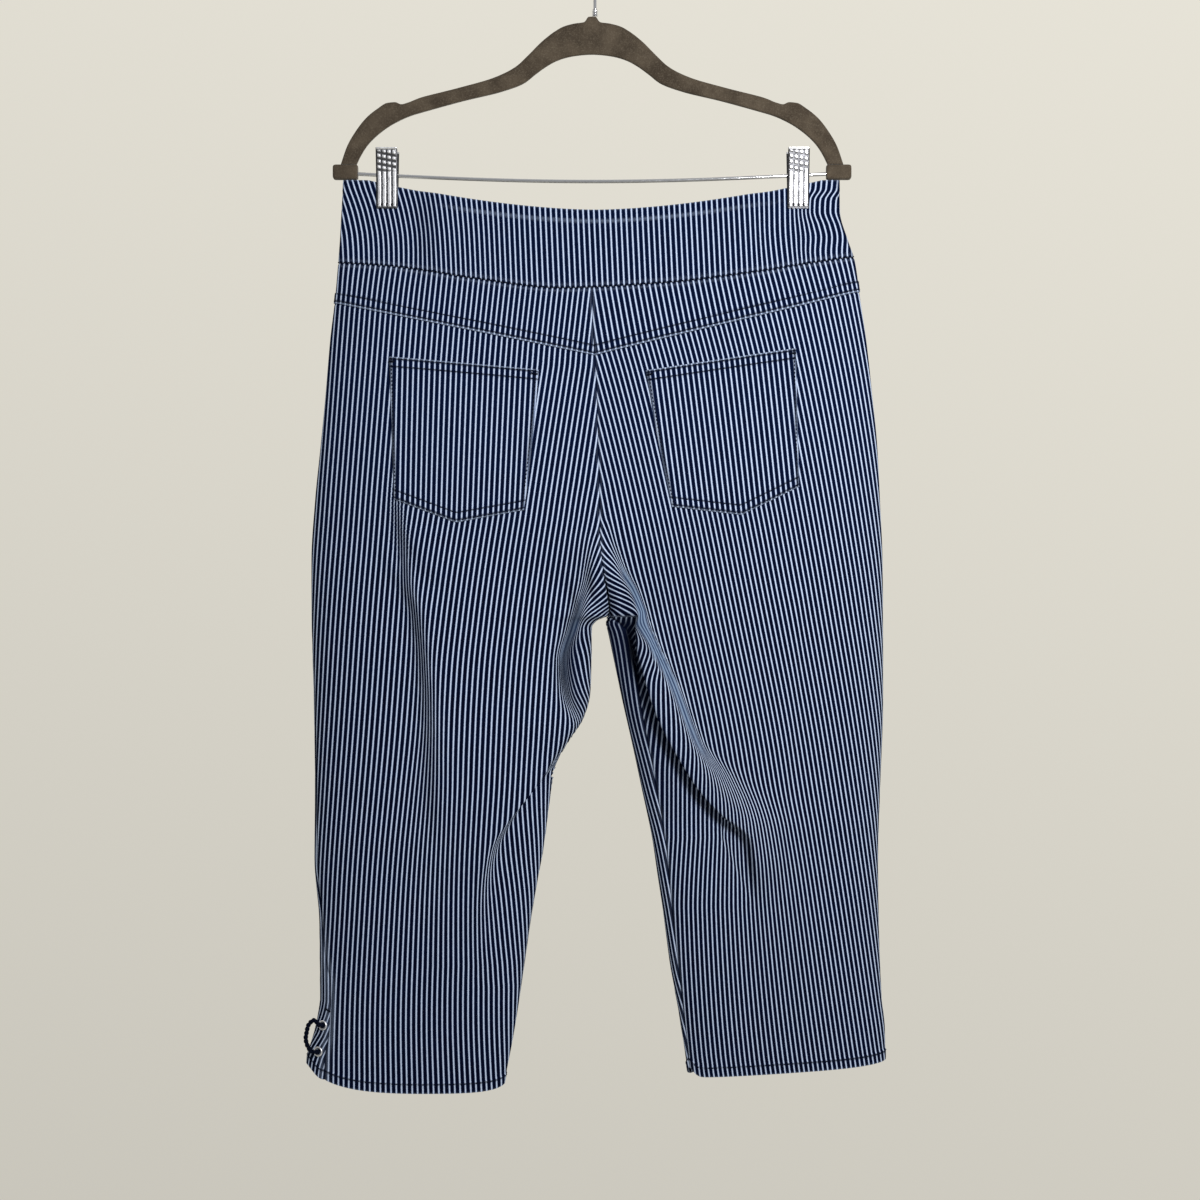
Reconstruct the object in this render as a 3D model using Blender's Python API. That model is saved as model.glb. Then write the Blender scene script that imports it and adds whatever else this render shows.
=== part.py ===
"""Capri pants held by two clips on a trouser hanger, modelled at their real size.

Metres, +Z up. The origin is the inside top of the hook, where a rail carries the hanger.
The back of the pants faces -Y, so the wearer's left is at -X. The tables are in millimetres.

A cloth panel is a grid of points with a row for each height on the side seam. Each panel
takes its points from one flattened tube for the hips, or one for each leg, so that
neighbours meet along a seam with SEAM_GAP between them.
"""

from collections import namedtuple
import math

import bmesh
import bpy
from mathutils import Vector
import numpy as np

MM = 0.001
SEAM_GAP = 0.3
CLOTH = 1.6              # wall of every cloth panel
GRIPPED_GAP = 0.6        # between the front and back cloth in a clip
POCKET_CLOTH = 1.2
POCKET_LIFT = 0.5        # from a panel to the pocket that lies on it
SMOOTH_ANGLE = math.radians(40.0)

OTHER = {"left": "right", "right": "left"}
FACING = {"back": -1.0, "front": 1.0}


# ---------------------------------------------------------------- tables and curves

def table(columns, *rows):
    """One array for each named column."""
    return dict(zip(columns.split(), np.array(rows, dtype=float).T))


def read(rows, key, column, at):
    """A smooth curve through a table's points that never overshoots them."""
    xs, ys = rows[key], rows[column]
    if xs[0] > xs[-1]:
        xs, ys = xs[::-1], ys[::-1]
    run = np.diff(xs)
    slope = np.diff(ys) / run
    tangent = np.zeros_like(ys)
    tangent[0], tangent[-1] = slope[0], slope[-1]
    turns = slope[:-1] * slope[1:] <= 0.0
    safe = np.where(turns, 1.0, slope[:-1] + slope[1:])
    tangent[1:-1] = np.where(turns, 0.0, 2.0 * slope[:-1] * slope[1:] / safe)
    at = np.clip(at, xs[0], xs[-1])
    i = np.clip(np.searchsorted(xs, at, side="right") - 1, 0, len(run) - 1)
    t = (at - xs[i]) / run[i]
    return ((1 + 2 * t) * (1 - t) ** 2 * ys[i] + t * (1 - t) ** 2 * run[i] * tangent[i]
            + t * t * (3 - 2 * t) * ys[i + 1] - t * t * (1 - t) * run[i] * tangent[i + 1])


def ramp(value, low, high):
    """0 up to low, 1 from high on, smooth between."""
    t = np.clip((value - low) / (high - low), 0.0, 1.0)
    return t * t * (3.0 - 2.0 * t)


def mix(a, b, share):
    return a + (b - a) * share


# ---------------------------------------------------------------- the garment's sizes

# Waist and hips: the two side edges, how far the cloth stands from the middle plane at the
# back and the front, and where the centre back and centre front seams run.
HIPS = table(
    "z     left    right   back  front  centre_back  centre_front",
    (-228, -216.7, 210.5,   7.0,   7.0,   -3.0,  -2.0),
    (-255, -218.4, 211.0,   9.0,   9.0,   -3.0,  -2.0),
    (-280, -219.8, 218.0,  11.5,  11.0,   -3.0,  -2.0),
    (-298, -221.2, 224.0,  13.0,  12.0,   -2.7,  -2.0),
    (-331, -224.0, 228.5,  15.5,  13.5,   -2.4,  -1.5),
    (-365, -228.0, 233.5,  17.5,  15.0,   -1.2,  -1.0),
    (-417, -232.4, 239.1,  20.0,  17.0,    1.7,   0.0),
    (-455, -236.0, 242.8,  22.0,  18.0,    2.8,   2.0),
    (-505, -241.0, 245.3,  24.0,  19.0,    4.6,   4.0),
    (-555, -244.0, 247.4,  25.0,  20.0,    9.0,   6.0),
    (-603, -243.8, 247.7,  25.0,  20.0,   15.0,   8.0),
    (-675, -241.8, 247.7,  24.0,  20.0,   15.0,   8.0),
    (-750, -240.8, 245.2,  22.5,  19.0,   15.0,   8.0),
    (-812, -241.2, 243.4,  21.0,  18.0,   15.0,   8.0),
    (-864, -237.2, 244.0,  19.5,  17.0,   15.0,   8.0),
    (-930, -236.6, 246.5,  18.0,  16.0,   15.0,   8.0),
    (-956, -240.6, 249.2,  17.3,  15.6,   15.0,   8.0),
    (-980, -247.2, 249.6,  16.7,  15.3,   15.0,   8.0),
    (-1010, -249.0, 246.5, 16.0,  15.0,   15.0,   8.0),
)

# Inside of each leg: its inner edge, and how far the inseam lies from that edge. The inseam
# is on the back of the leg where that is positive and on the front where it is negative.
# side_seam is the same at the outer edge, and vent how far the vent gapes there.
LEGS = {
    "left": table(
        "z     inner   inseam  side_seam  vent",
        (-603,  10.0,   0.0,    0.0,   0.0),
        (-607,   1.0,  -4.0,    0.0,   0.0),
        (-613,  -2.6, -10.0,    0.0,   0.0),
        (-645,  -2.8, -16.0,    0.5,   0.0),
        (-672,  -4.2, -16.0,    1.0,   0.0),
        (-692, -10.3, -15.0,    1.0,   0.0),
        (-709, -21.0, -14.0,    1.5,   0.0),
        (-727, -31.6, -13.0,    1.5,   0.0),
        (-744, -36.2, -13.0,    2.0,   0.0),
        (-761, -38.7, -13.0,    2.0,   0.0),
        (-795, -43.0, -12.0,    2.5,   0.0),
        (-864, -55.0, -11.0,    3.5,   0.0),
        (-890, -58.8, -10.7,    5.5,   0.0),
        (-915, -62.5, -10.4,   10.0,   0.0),
        (-942, -66.5, -10.0,   11.5,   0.0),
        (-967, -70.5,  -9.0,   15.5,   0.4),
        (-1010, -79.0, -8.0,   18.5,   0.7),
    ),
    "right": table(
        "z     inner   inseam  side_seam  vent",
        (-603,  10.0,   0.0,    0.0,   0.0),
        (-608,   9.0,  10.0,    0.0,   0.0),
        (-616,  10.8,  16.0,    0.0,   0.0),
        (-645,  16.6,  16.5,   -0.5,   0.0),
        (-675,  23.2,  15.0,   -1.0,   0.0),
        (-713,  32.0,  13.6,   -1.5,   0.0),
        (-753,  40.4,  12.5,   -2.0,   0.0),
        (-793,  48.6,  11.0,   -2.5,   0.0),
        (-852,  57.5,   8.0,   -6.0,   0.0),
        (-904,  64.7,   6.5,  -11.0,   0.0),
        (-942,  71.5,   4.0,  -16.0,   0.0),
        (-967,  75.5,   3.0,  -19.0,   0.4),
        (-1000, 80.5,   2.0,  -21.0,   0.7),
    ),
}

# Rows of a leg panel above the crotch: the height on the side seam, the height on the
# centre seam, and how late the row drops between them (power).
CROTCH = -603.0
LEG_STARTS = -500.0      # here the hip tube starts to turn into the two leg tubes
LEG_LATENESS = 1.5       # over 1, most of that turn happens close to the crotch
HIP_ROWS = {
    ("left", "back"): table(
        "side    inner   power",
        (-334.5, -381.0,  1.50),
        (-380.0, -419.0,  1.50),
        (-430.0, -462.0,  1.60),
        (-480.0, -507.0,  2.40),
        (-520.0, -545.0,  3.20),
        (-548.0, -571.0,  4.00),
        (-570.0, -588.0,  4.60),
        (-588.0, -598.5,  5.00),
        (CROTCH, CROTCH,  5.00),
    ),
    ("right", "back"): table(
        "side    inner   power",
        (-324.5, -381.0,  1.50),
        (-380.0, -422.0,  1.50),
        (-430.0, -464.0,  1.60),
        (-480.0, -508.0,  2.40),
        (-520.0, -546.0,  3.20),
        (-548.0, -572.0,  4.00),
        (-570.0, -588.5,  4.60),
        (-588.0, -598.5,  5.00),
        (CROTCH, CROTCH,  5.00),
    ),
    ("left", "front"): table(
        "side    inner   power",
        (-301.0, -330.0,  1.60),
        (-380.0, -402.0,  1.60),
        (-480.0, -498.0,  2.40),
        (-548.0, -563.0,  4.00),
        (-588.0, -594.0,  5.00),
        (CROTCH, CROTCH,  5.00),
    ),
    ("right", "front"): table(
        "side    inner   power",
        (-295.5, -330.0,  1.60),
        (-380.0, -402.0,  1.60),
        (-480.0, -498.0,  2.40),
        (-548.0, -563.0,  4.00),
        (-588.0, -594.0,  5.00),
        (CROTCH, CROTCH,  5.00),
    ),
}

# Rows below the crotch, down to the hem: the height on the side seam and on the inseam,
# how far the row bows down in the middle of the back and of the front, how much higher the
# front lies away from the side seam, and how far the corners curl up at the side seam and
# at the inseam.
LEG_ROWS = {
    "left": table(
        "side    inner    bow_back  bow_front  lift_front  curl_side  curl_inner",
        (CROTCH, CROTCH,    0.0,   0.0,         0.0,       0.0,       0.0),
        (-700.0, -700.0,    0.0,   0.0,         0.0,       0.0,       0.0),
        (-900.0, -904.0,    0.5,   0.0,         0.0,       0.0,       0.0),
        (-965.0, -967.0,    5.0,   0.0,         4.0,       0.0,       1.5),
        (-998.6, -998.0,   11.3,   0.0,        12.4,       0.0,       5.0),
    ),
    "right": table(
        "side    inner    bow_back  bow_front  lift_front  curl_side  curl_inner",
        (CROTCH, CROTCH,    0.0,   0.0,         0.0,       0.0,       0.0),
        (-700.0, -700.0,    0.0,   0.0,         0.0,       0.0,       0.0),
        (-900.0, -904.0,    0.0,   0.0,         0.0,       0.0,       0.0),
        (-979.0, -998.0,    1.5,   1.5,         0.0,       6.0,       8.0),
    ),
}
CURL_REACH = 0.045       # share of a panel's width over which a corner curls up
LIFT_REACH = 0.09        # and over which the front rises from the side seam

# The seam under the waistband; the front one hangs FRONT_DROP lower in the middle.
WAIST_SEAM = table(
    "x      z",
    (-240, -298.5), (-175, -303.0), (-105, -314.5), (-30, -323.0),
    (60, -318.5), (129, -310.0), (176, -301.5), (240, -292.0),
)
FRONT_DROP = 7.0
SEAM_BLEND = 120.0       # how far down the front panels' rows keep that seam's shape
WAIST_TOP = -228.3       # top edge beside the clips
WAIST_SAG = 27.0         # how far that edge hangs lower at the middle
SAG_HALF_SPAN = 195.0
SAG_POWER = 1.7

HIP_FLATNESS = 4.0       # how square a flattened tube is: 2 is an ellipse
LEG_FLATNESS = 3.0
EDGE_CROWDING = 0.72     # share of the grid's columns drawn towards the rounded edges
CROTCH_BACKSET = 7.0     # the crotch point lies this far in front of the middle plane

CLIP_X = {"left": -178.5, "right": 174.6}
CLIP_WIDTH = 18.5
GRIP_HALF = 20.0         # the layers lie flat together this far from a clip's middle
GRIP_FADE = 26.0         # and are drawn together this much further
GRIP_TOP, GRIP_BOTTOM = -262.0, -335.0

# Main folds, as lines down the cloth. rise is how much farther out the cloth is on the +X
# side of the line, soft the half width of the step, share how much of the rise goes to the
# +X side, reach how far it takes to die away, start over what length it begins. ridge adds a
# crest, or a trough where it is negative, as wide as soft.
Fold = namedtuple("Fold", "rise ridge soft share reach start line")
BACK_FOLDS = (
    # below the left pocket, down the thigh
    Fold(8.0, 0.0, 6.0, 0.6, 60.0, 60.0,
         ((-174, -490), (-160, -566), (-148, -630), (-139, -740), (-136, -800))),
    # the gusset's left flank, from the centre back down to the inside of the left leg
    Fold(13.0, 0.0, 5.0, 0.55, 25.0, 40.0,
         ((-1, -540), (-6, -570), (-11, -588), (-23, -625), (-28, -648), (-25, -666),
          (-6, -705))),
    # overlap across the inside of the left leg
    Fold(-10.0, 0.0, 3.0, 0.45, 30.0, 25.0,
         ((-2, -680), (-20, -710), (-33, -726), (-52, -750), (-74, -781), (-86, -804),
          (-92, -845))),
    Fold(-4.5, 0.0, 5.0, 0.5, 30.0, 40.0,
         ((-46, -760), (-57, -784), (-72, -815), (-86, -843), (-110, -893))),
    # overlap from the crotch down across the right leg
    Fold(18.0, 0.0, 3.0, 0.40, 32.0, 14.0,
         ((35, -598), (37, -630), (43, -654), (51, -680), (61, -703), (73, -724), (86, -745),
          (105, -769), (129, -793), (136, -850))),
    # the gusset's right flank, which runs on beside that overlap
    Fold(-9.0, 0.0, 4.5, 0.5, 26.0, 30.0,
         ((10, -530), (19, -556), (28, -578), (37, -596), (45, -610), (53, -628), (63, -654),
          (73, -677), (82, -699), (95, -724), (118, -752), (140, -782))),
    # down the outside of the right leg
    Fold(-7.0, 0.0, 5.0, 0.5, 50.0, 50.0,
         ((176, -560), (173, -640), (169, -690), (164, -751), (157, -850))),
    Fold(3.5, 0.0, 9.0, 0.5, 40.0, 50.0, ((206, -600), (210, -700), (208, -880))),
    # beside the clips
    Fold(0.0, 2.2, 7.0, 0.5, 30.0, 20.0, ((206, -225), (203, -250), (212, -290))),
    Fold(0.0, -2.0, 8.0, 0.5, 30.0, 20.0, ((-207, -235), (-205, -268), (-208, -300))),
)
FRONT_FOLDS = (
    Fold(-4.0, 0.0, 7.0, 0.5, 50.0, 45.0, ((-120, -600), (-130, -700), (-138, -820))),
    Fold(0.0, -5.0, 9.0, 0.5, 30.0, 45.0, ((-20, -560), (-38, -640), (-70, -720))),
    Fold(0.0, -5.0, 9.0, 0.5, 30.0, 45.0, ((22, -570), (48, -650), (84, -730))),
    Fold(4.0, 0.0, 7.0, 0.5, 50.0, 45.0, ((128, -590), (138, -690), (150, -830))),
)
FOLDS = {"back": BACK_FOLDS, "front": FRONT_FOLDS}
FOLD_FADE = 45.0         # length over which a fold dies out at its lower end
EDGE_FADE = 9.0          # folds die out where the tube is shallower than this

# Half of the hanger's arch from the neck outwards: its top and bottom edge, x from the
# middle of the hanger.
HANGER_MIDDLE = -2.5
HANGER_ARCH = table(
    "top_x  top_z   low_x  low_z",
    (0.0,   -87.6,   0.0, -120.0),
    (3.0,   -87.8,   3.2, -120.1),
    (7.0,   -92.4,   8.0, -120.4),
    (15.0,  -93.6,  16.0, -121.4),
    (24.0,  -96.0,  24.0, -123.2),
    (32.0, -100.4,  31.5, -126.0),
    (43.0, -109.0,  39.5, -130.5),
    (55.0, -121.0,  48.5, -137.0),
    (66.0, -131.0,  59.0, -145.0),
    (84.0, -140.0,  78.0, -152.0),
    (115.0, -149.0, 111.0, -160.0),
    (148.0, -157.5, 143.0, -168.8),
    (158.0, -161.5, 154.0, -172.0),
    (164.0, -163.0, 160.5, -174.5),
    (169.5, -161.2, 167.0, -177.6),
    (176.0, -161.8, 172.5, -180.6),
    (185.0, -167.2, 179.0, -185.0),
    (194.0, -174.6, 185.5, -190.2),
    (203.0, -186.0, 193.0, -198.0),
    (210.5, -199.0, 198.8, -207.0),
    (216.0, -214.7, 202.5, -214.7),
)
HANGER_THICKNESS = 5.4
HANGER_CORNER = 1.3
CAP_INNER, CAP_OUTER = 201.5, 222.6   # each end cap, from the middle of the hanger
CAP_TOP, CAP_BOTTOM = -215.0, -227.6
CAP_THICKNESS, CAP_SQUARENESS = 9.0, 0.45
CAP_ROUNDING = ((0.0, 0.88), (0.06, 1.0), (0.88, 1.0), (0.97, 0.93), (1.0, 0.78))
BAR_RADIUS = 1.75
BAR_HALF = CAP_INNER - SEAM_GAP       # half the bar's length between the caps
BAR_END_Z, BAR_SAG = -222.7, 6.4
HOOK_WIRE = 1.65
HOOK_INNER = 19.0        # inside radius of the hook
HOOK_TIP, HOOK_SHOULDER = 205.0, -55.0   # degrees where the round part starts and ends
SHAFT_FOOT = -87.2
COLLAR_INNER, COLLAR_OUTER = 2.0, 2.7
COLLAR_TOP, COLLAR_BOTTOM = -81.7, -86.9

# A jaw of a clip, from its teeth up to its grip: how far it stands from the middle plane.
JAW = table(
    "z       off",
    (-253.2, 2.25),
    (-238.0, 2.25),
    (-232.0, 2.9),
    (-223.0, 4.4),
    (-212.0, 6.2),
    (-202.0, 7.95),
)
JAW_SHEET = 1.0
JAW_RIBS, RIB_HEIGHT = 4, 0.7
RIB_FOOT, RIB_CREST = 1.9, 1.1
SPRING_INNER, SPRING_OUTER = 2.15, 3.5
SPRING_LENGTH = 14.0

# Columns of the leg panels. On the back some of them run beside a guide line, the course of
# the leg's main fold, at these distances from it (positive towards the side seam).
FRONT_COLUMNS, YOKE_COLUMNS = 15, 15
OUTER_COLUMNS, INNER_COLUMNS = 13, 6
GUIDE_OFFSETS = (15.0, 7.0, 2.2, -2.2)
GUIDES = {
    "left": table(
        "x     z",
        (-6, -560), (-11, -588), (-23, -625), (-28, -648), (-27, -672), (-28, -700),
        (-36, -726), (-54, -752), (-74, -781), (-87, -806), (-100, -850), (-118, -990),
    ),
    "right": table(
        "x     z",
        (34, -560), (35, -600), (37, -630), (43, -654), (51, -680), (61, -703), (73, -724),
        (86, -745), (105, -769), (128, -794), (137, -850), (142, -990),
    ),
}
GUIDES_FROM, GUIDES_TO = -470.0, -555.0   # the columns swing over to the guide between these
UPPER_STEP, LOWER_STEP = 28.0, 21.0       # distance between rows above and below the crotch
CROTCH_STEPS = (18.0, 12.0, 7.0, 4.0)     # shorter rows on each side of the crotch
PANEL_WIDTH = 235.0      # roughly, to turn a gap at a seam into a share of a panel's width


# ---------------------------------------------------------------- the garment's surface

def fold_height(face, x, z):
    """How far the folds lift the cloth away from the middle plane."""
    height = np.zeros_like(x)
    for fold in FOLDS[face]:
        line = table("x z", *fold.line)
        across = read(line, "z", "x", z)
        lean = (read(line, "z", "x", z + 2.0) - read(line, "z", "x", z - 2.0)) / 4.0
        gap = (x - across) / np.sqrt(1.0 + lean * lean)
        top, low = line["z"][0], line["z"][-1]
        alive = ramp(-z, -top, -top + fold.start) * ramp(z, low, low + FOLD_FADE)
        step = 0.5 + 0.5 * np.tanh(gap / fold.soft)
        fading = np.exp(-np.abs(gap) / fold.reach)
        height += alive * fold.rise * fading * (step * fold.share - (1 - step) * (1 - fold.share))
        height += alive * fold.ridge * np.exp(-(gap / fold.soft) ** 2)
    return height


def tube_height(across, depth, flatness):
    """Height of a flattened tube over its middle plane; across is 0 and 1 at its edges."""
    return depth * np.sqrt(np.clip(1.0 - np.abs(2.0 * across - 1.0) ** flatness, 0.0, None))


def hip_point(side, face, across, z, inset):
    """x and height on the hip tube; across is 0 at this side's edge and 1 at the other."""
    near = read(HIPS, "z", side, z)
    far = read(HIPS, "z", OTHER[side], z)
    inward = np.sign(far - near)
    near = near + inward * inset
    far = far - inward * inset
    x = mix(near, far, across)
    height = tube_height(across, read(HIPS, "z", face, z) - inset, HIP_FLATNESS)
    gripped = np.zeros_like(x)
    for clip_x in CLIP_X.values():
        gripped += ramp(-np.abs(x - clip_x), -GRIP_HALF - GRIP_FADE, -GRIP_HALF)
    gripped *= ramp(z, GRIP_BOTTOM, GRIP_TOP)
    held_together = CLOTH + GRIPPED_GAP / 2 - inset
    return x, mix(height, held_together, gripped)


def leg_point(side, around, z, inset):
    """x, height and side of a leg tube: around is 0 to 1 over the back, 1 to 2 over the front."""
    outer = read(HIPS, "z", side, z)
    inner = read(LEGS[side], "z", "inner", z)
    inward = np.sign(inner - outer)
    outer = outer + inward * inset
    inner = inner - inward * inset
    around = np.mod(around, 2.0)
    at_back = around <= 1.0
    across = np.where(at_back, around, 2.0 - around)
    depth = np.where(at_back, read(HIPS, "z", "back", z), read(HIPS, "z", "front", z)) - inset
    return mix(outer, inner, across), tube_height(across, depth, LEG_FLATNESS), at_back


def crowd(share):
    """Even steps become short ones near the two edges of a tube (share 0 and 1)."""
    whole = np.floor(share)
    t = share - whole
    return whole + (1 - EDGE_CROWDING) * t + EDGE_CROWDING * (1 - np.cos(math.pi * t)) / 2


def uncrowd(place):
    """The inverse of crowd."""
    steps = np.linspace(0.0, 1.0, 400)
    whole = np.floor(place)
    return whole + np.interp(place - whole, crowd(steps * 0.99999), steps)


def crowd_one_edge(share):
    """As crowd, for a panel with a rounded edge at 0 alone."""
    return (1 - EDGE_CROWDING) * share + EDGE_CROWDING * (1 - np.cos(math.pi * share / 2))


def across_half(side, face, u, z):
    """Place on the hip tube of a half panel's u, from the side edge to the centre seam."""
    edge = read(HIPS, "z", side, z)
    far = read(HIPS, "z", OTHER[side], z)
    centre = read(HIPS, "z", "centre_" + face, z)
    return crowd_one_edge(u) * (centre - edge) / (far - edge)


def waist_seam(face, x):
    """Height of the seam under the waistband."""
    drop = FRONT_DROP * np.clip(1.0 - (x / SAG_HALF_SPAN) ** 2, 0.0, 1.0)
    return read(WAIST_SEAM, "x", "z", x) - (drop if face == "front" else 0.0)


def waist_seam_at(side, face, u):
    """Height of that seam at a half panel's u."""
    z = np.full_like(u, WAIST_SEAM["z"].mean())
    for _ in range(3):
        x, _height = hip_point(side, face, across_half(side, face, u, z), z, 0.0)
        z = waist_seam(face, x)
    return z


def row_height(side, face, u, row):
    """Height of a leg panel's row at u, 0 at the side seam and 1 at the inner seam."""
    hip, leg = HIP_ROWS[side, face], LEG_ROWS[side]
    hip_z = mix(row, read(hip, "side", "inner", row), u ** read(hip, "side", "power", row))
    if face == "front":
        first, first_inner, first_power = (hip[c][0] for c in ("side", "inner", "power"))
        to_seam = waist_seam_at(side, face, u) - mix(first, first_inner, u ** first_power)
        hip_z = hip_z + to_seam * ramp(row, first - SEAM_BLEND, first)
    bow = (1.0 - np.abs(2.0 * u - 1.0) ** 3) * read(leg, "side", "bow_" + face, row)
    curl = (read(leg, "side", "curl_side", row) * np.exp(-(u / CURL_REACH) ** 2)
            + read(leg, "side", "curl_inner", row) * np.exp(-((1.0 - u) / CURL_REACH) ** 2))
    if face == "front":
        curl = curl + read(leg, "side", "lift_front", row) * (1.0 - np.exp(-(u / LIFT_REACH) ** 2))
    leg_z = mix(row, read(leg, "side", "inner", row), u) - bow + curl
    return np.where(row > CROTCH, hip_z, leg_z)


def cloth_y(face_sign, height, x, z):
    """Distance from the middle plane with the folds, which die out at a tube's edges."""
    back = face_sign < 0
    folds = np.where(back, fold_height("back", x, z), fold_height("front", x, z))
    height = height + folds * ramp(height, 0.0, EDGE_FADE)
    return face_sign * np.maximum(height, SEAM_GAP / 2)


def panel_point(side, face, u, row, inset):
    """A point of a leg panel, in millimetres."""
    z = row_height(side, face, u, row)
    hip_x, hip_height = hip_point(side, face, across_half(side, face, u, z), z, inset)
    hip_y = cloth_y(FACING[face], hip_height, hip_x, z)

    legs = LEGS[side]
    width = np.abs(read(legs, "z", "inner", z) - read(HIPS, "z", side, z))
    seam = read(legs, "z", "side_seam", z)
    if face == "front":
        seam = seam - read(legs, "z", "vent", z)
    start = uncrowd(seam / width)
    end = uncrowd(1.0 - read(legs, "z", "inseam", z) / width)
    if face == "front":
        start = start + 2.0
    around = crowd(mix(start, end, u))
    leg_x, leg_height, at_back = leg_point(side, around, z, inset)
    leg_y = cloth_y(np.where(at_back, -1.0, 1.0), leg_height, leg_x, z)

    towards_crotch = np.clip((LEG_STARTS - row) / (LEG_STARTS - CROTCH), 0.0, 1.0)
    turned = ramp(towards_crotch ** LEG_LATENESS, 0.0, 1.0)
    backset = CROTCH_BACKSET * u ** 4 * turned * ramp(z, -700.0, -600.0)
    return np.stack([mix(hip_x, leg_x, turned), mix(hip_y, leg_y, turned) + backset, z], axis=-1)


def waist_top(face, x):
    """Height of the waistband's free edge, which sags between the clips."""
    sag = WAIST_SAG * (1.0 - np.clip(np.abs(x) / SAG_HALF_SPAN, 0.0, 1.0) ** SAG_POWER)
    drop = FRONT_DROP * np.clip(1.0 - (x / SAG_HALF_SPAN) ** 2, 0.0, 1.0)
    return WAIST_TOP - sag - (drop if face == "front" else 0.0)


def band_point(face, u, v, inset):
    """A point of the waistband: u from the left edge to the right one, v from the top down."""
    across = crowd(u * 0.99999)
    z = waist_top(face, mix(HIPS["left"][0], HIPS["right"][0], across))
    for _ in range(3):
        x, height = hip_point("left", face, across, z, inset)
        z = mix(waist_top(face, x), waist_seam(face, x) + SEAM_GAP / 2, v)
    return np.stack([x, cloth_y(FACING[face], height, x, z), z], axis=-1)


def yoke_point(side, u, v, inset):
    """A point of a back yoke: u from the side edge to the centre back, v from the top down."""
    top = waist_seam_at(side, "back", u) - SEAM_GAP / 2
    low = row_height(side, "back", u, HIP_ROWS[side, "back"]["side"][0]) + SEAM_GAP / 2
    z = mix(top, low, v)
    x, height = hip_point(side, "back", across_half(side, "back", u, z), z, inset)
    return np.stack([x, cloth_y(-1.0, height, x, z), z], axis=-1)


# ---------------------------------------------------------------- meshes and materials

def material(name, colour, roughness, metallic=0.0):
    made = bpy.data.materials.new(name)
    made.use_nodes = True
    shader = made.node_tree.nodes["Principled BSDF"]
    shader.inputs["Base Color"].default_value = (*colour, 1.0)
    shader.inputs["Roughness"].default_value = roughness
    shader.inputs["Metallic"].default_value = metallic
    return made


def add_object(name, points, faces, finish):
    """A smooth-shaded object from points in millimetres, its faces turned outwards."""
    mesh = bpy.data.meshes.new(name)
    mesh.from_pydata([Vector(p) * MM for p in points], [], faces)
    shape = bmesh.new()
    shape.from_mesh(mesh)
    bmesh.ops.recalc_face_normals(shape, faces=shape.faces)
    shape.to_mesh(mesh)
    shape.free()
    mesh.shade_smooth()
    mesh.set_sharp_from_angle(angle=SMOOTH_ANGLE)
    mesh.materials.append(finish)
    made = bpy.data.objects.new(name, mesh)
    bpy.context.collection.objects.link(made)
    return made


def sheet_solid(name, outside, inside, finish):
    """A closed wall between two grids of the same size."""
    rows, columns = outside.shape[:2]
    count = rows * columns
    points = [tuple(p) for skin in (outside, inside) for p in skin.reshape(-1, 3)]

    def at(skin, row, column):
        return skin * count + row * columns + column

    faces = []
    for row in range(rows - 1):
        for column in range(columns - 1):
            for skin in (0, 1):
                faces.append((at(skin, row, column), at(skin, row, column + 1),
                              at(skin, row + 1, column + 1), at(skin, row + 1, column)))
    around = ([(0, c) for c in range(columns)]
              + [(r, columns - 1) for r in range(1, rows)]
              + [(rows - 1, c) for c in range(columns - 2, -1, -1)]
              + [(r, 0) for r in range(rows - 2, 0, -1)])
    for here, there in zip(around, around[1:] + around[:1]):
        faces.append((at(0, *here), at(0, *there), at(1, *there), at(1, *here)))
    return add_object(name, points, faces, finish)


def loft(name, rings, finish):
    """A closed solid through rings of the same number of points, capped at both ends."""
    size = len(rings[0])
    points = [tuple(p) for ring in rings for p in ring]
    faces = []
    for level in range(len(rings) - 1):
        for k in range(size):
            nxt = (k + 1) % size
            faces.append((level * size + k, level * size + nxt,
                          (level + 1) * size + nxt, (level + 1) * size + k))
    faces.append(tuple(range(size)))
    faces.append(tuple(range((len(rings) - 1) * size, len(rings) * size)))
    return add_object(name, points, faces, finish)


def rod(name, route, radius, finish, resolution=2):
    """A round rod along a smooth route of points in millimetres."""
    data = bpy.data.curves.new(name, "CURVE")
    data.dimensions = "3D"
    data.bevel_depth = radius * MM
    data.bevel_resolution = resolution
    data.use_fill_caps = True
    line = data.splines.new("POLY")
    line.points.add(len(route) - 1)
    for point, place in zip(line.points, route):
        point.co = (*(c * MM for c in place), 1.0)
    line.use_smooth = True
    data.materials.append(finish)
    made = bpy.data.objects.new(name, data)
    bpy.context.collection.objects.link(made)
    return made


def ring_around(centre, axis, inner, outer, thickness, sides):
    """Points and faces of a flat ring standing on a plane, axis pointing out of it."""
    axis = Vector(axis).normalized()
    first = axis.orthogonal().normalized()
    second = axis.cross(first)
    profile = ((inner, 0.0), (outer, 0.0), (outer, 0.6 * thickness),
               (0.5 * (inner + outer), thickness), (inner, 0.6 * thickness))
    points, faces = [], []
    for k in range(sides):
        turn = 2 * math.pi * k / sides
        spoke = first * math.cos(turn) + second * math.sin(turn)
        for radius, height in profile:
            points.append(Vector(centre) + spoke * radius + axis * height)
    n = len(profile)
    for k in range(sides):
        for j in range(n):
            faces.append((k * n + j, k * n + (j + 1) % n,
                          ((k + 1) % sides) * n + (j + 1) % n, ((k + 1) % sides) * n + j))
    return points, faces


# ---------------------------------------------------------------- cloth pieces

def trimmed(count, length):
    """Even shares from 0 to 1, drawn in by half a seam gap at both ends."""
    margin = SEAM_GAP / 2 / length
    return np.linspace(margin, 1.0 - margin, count)


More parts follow.
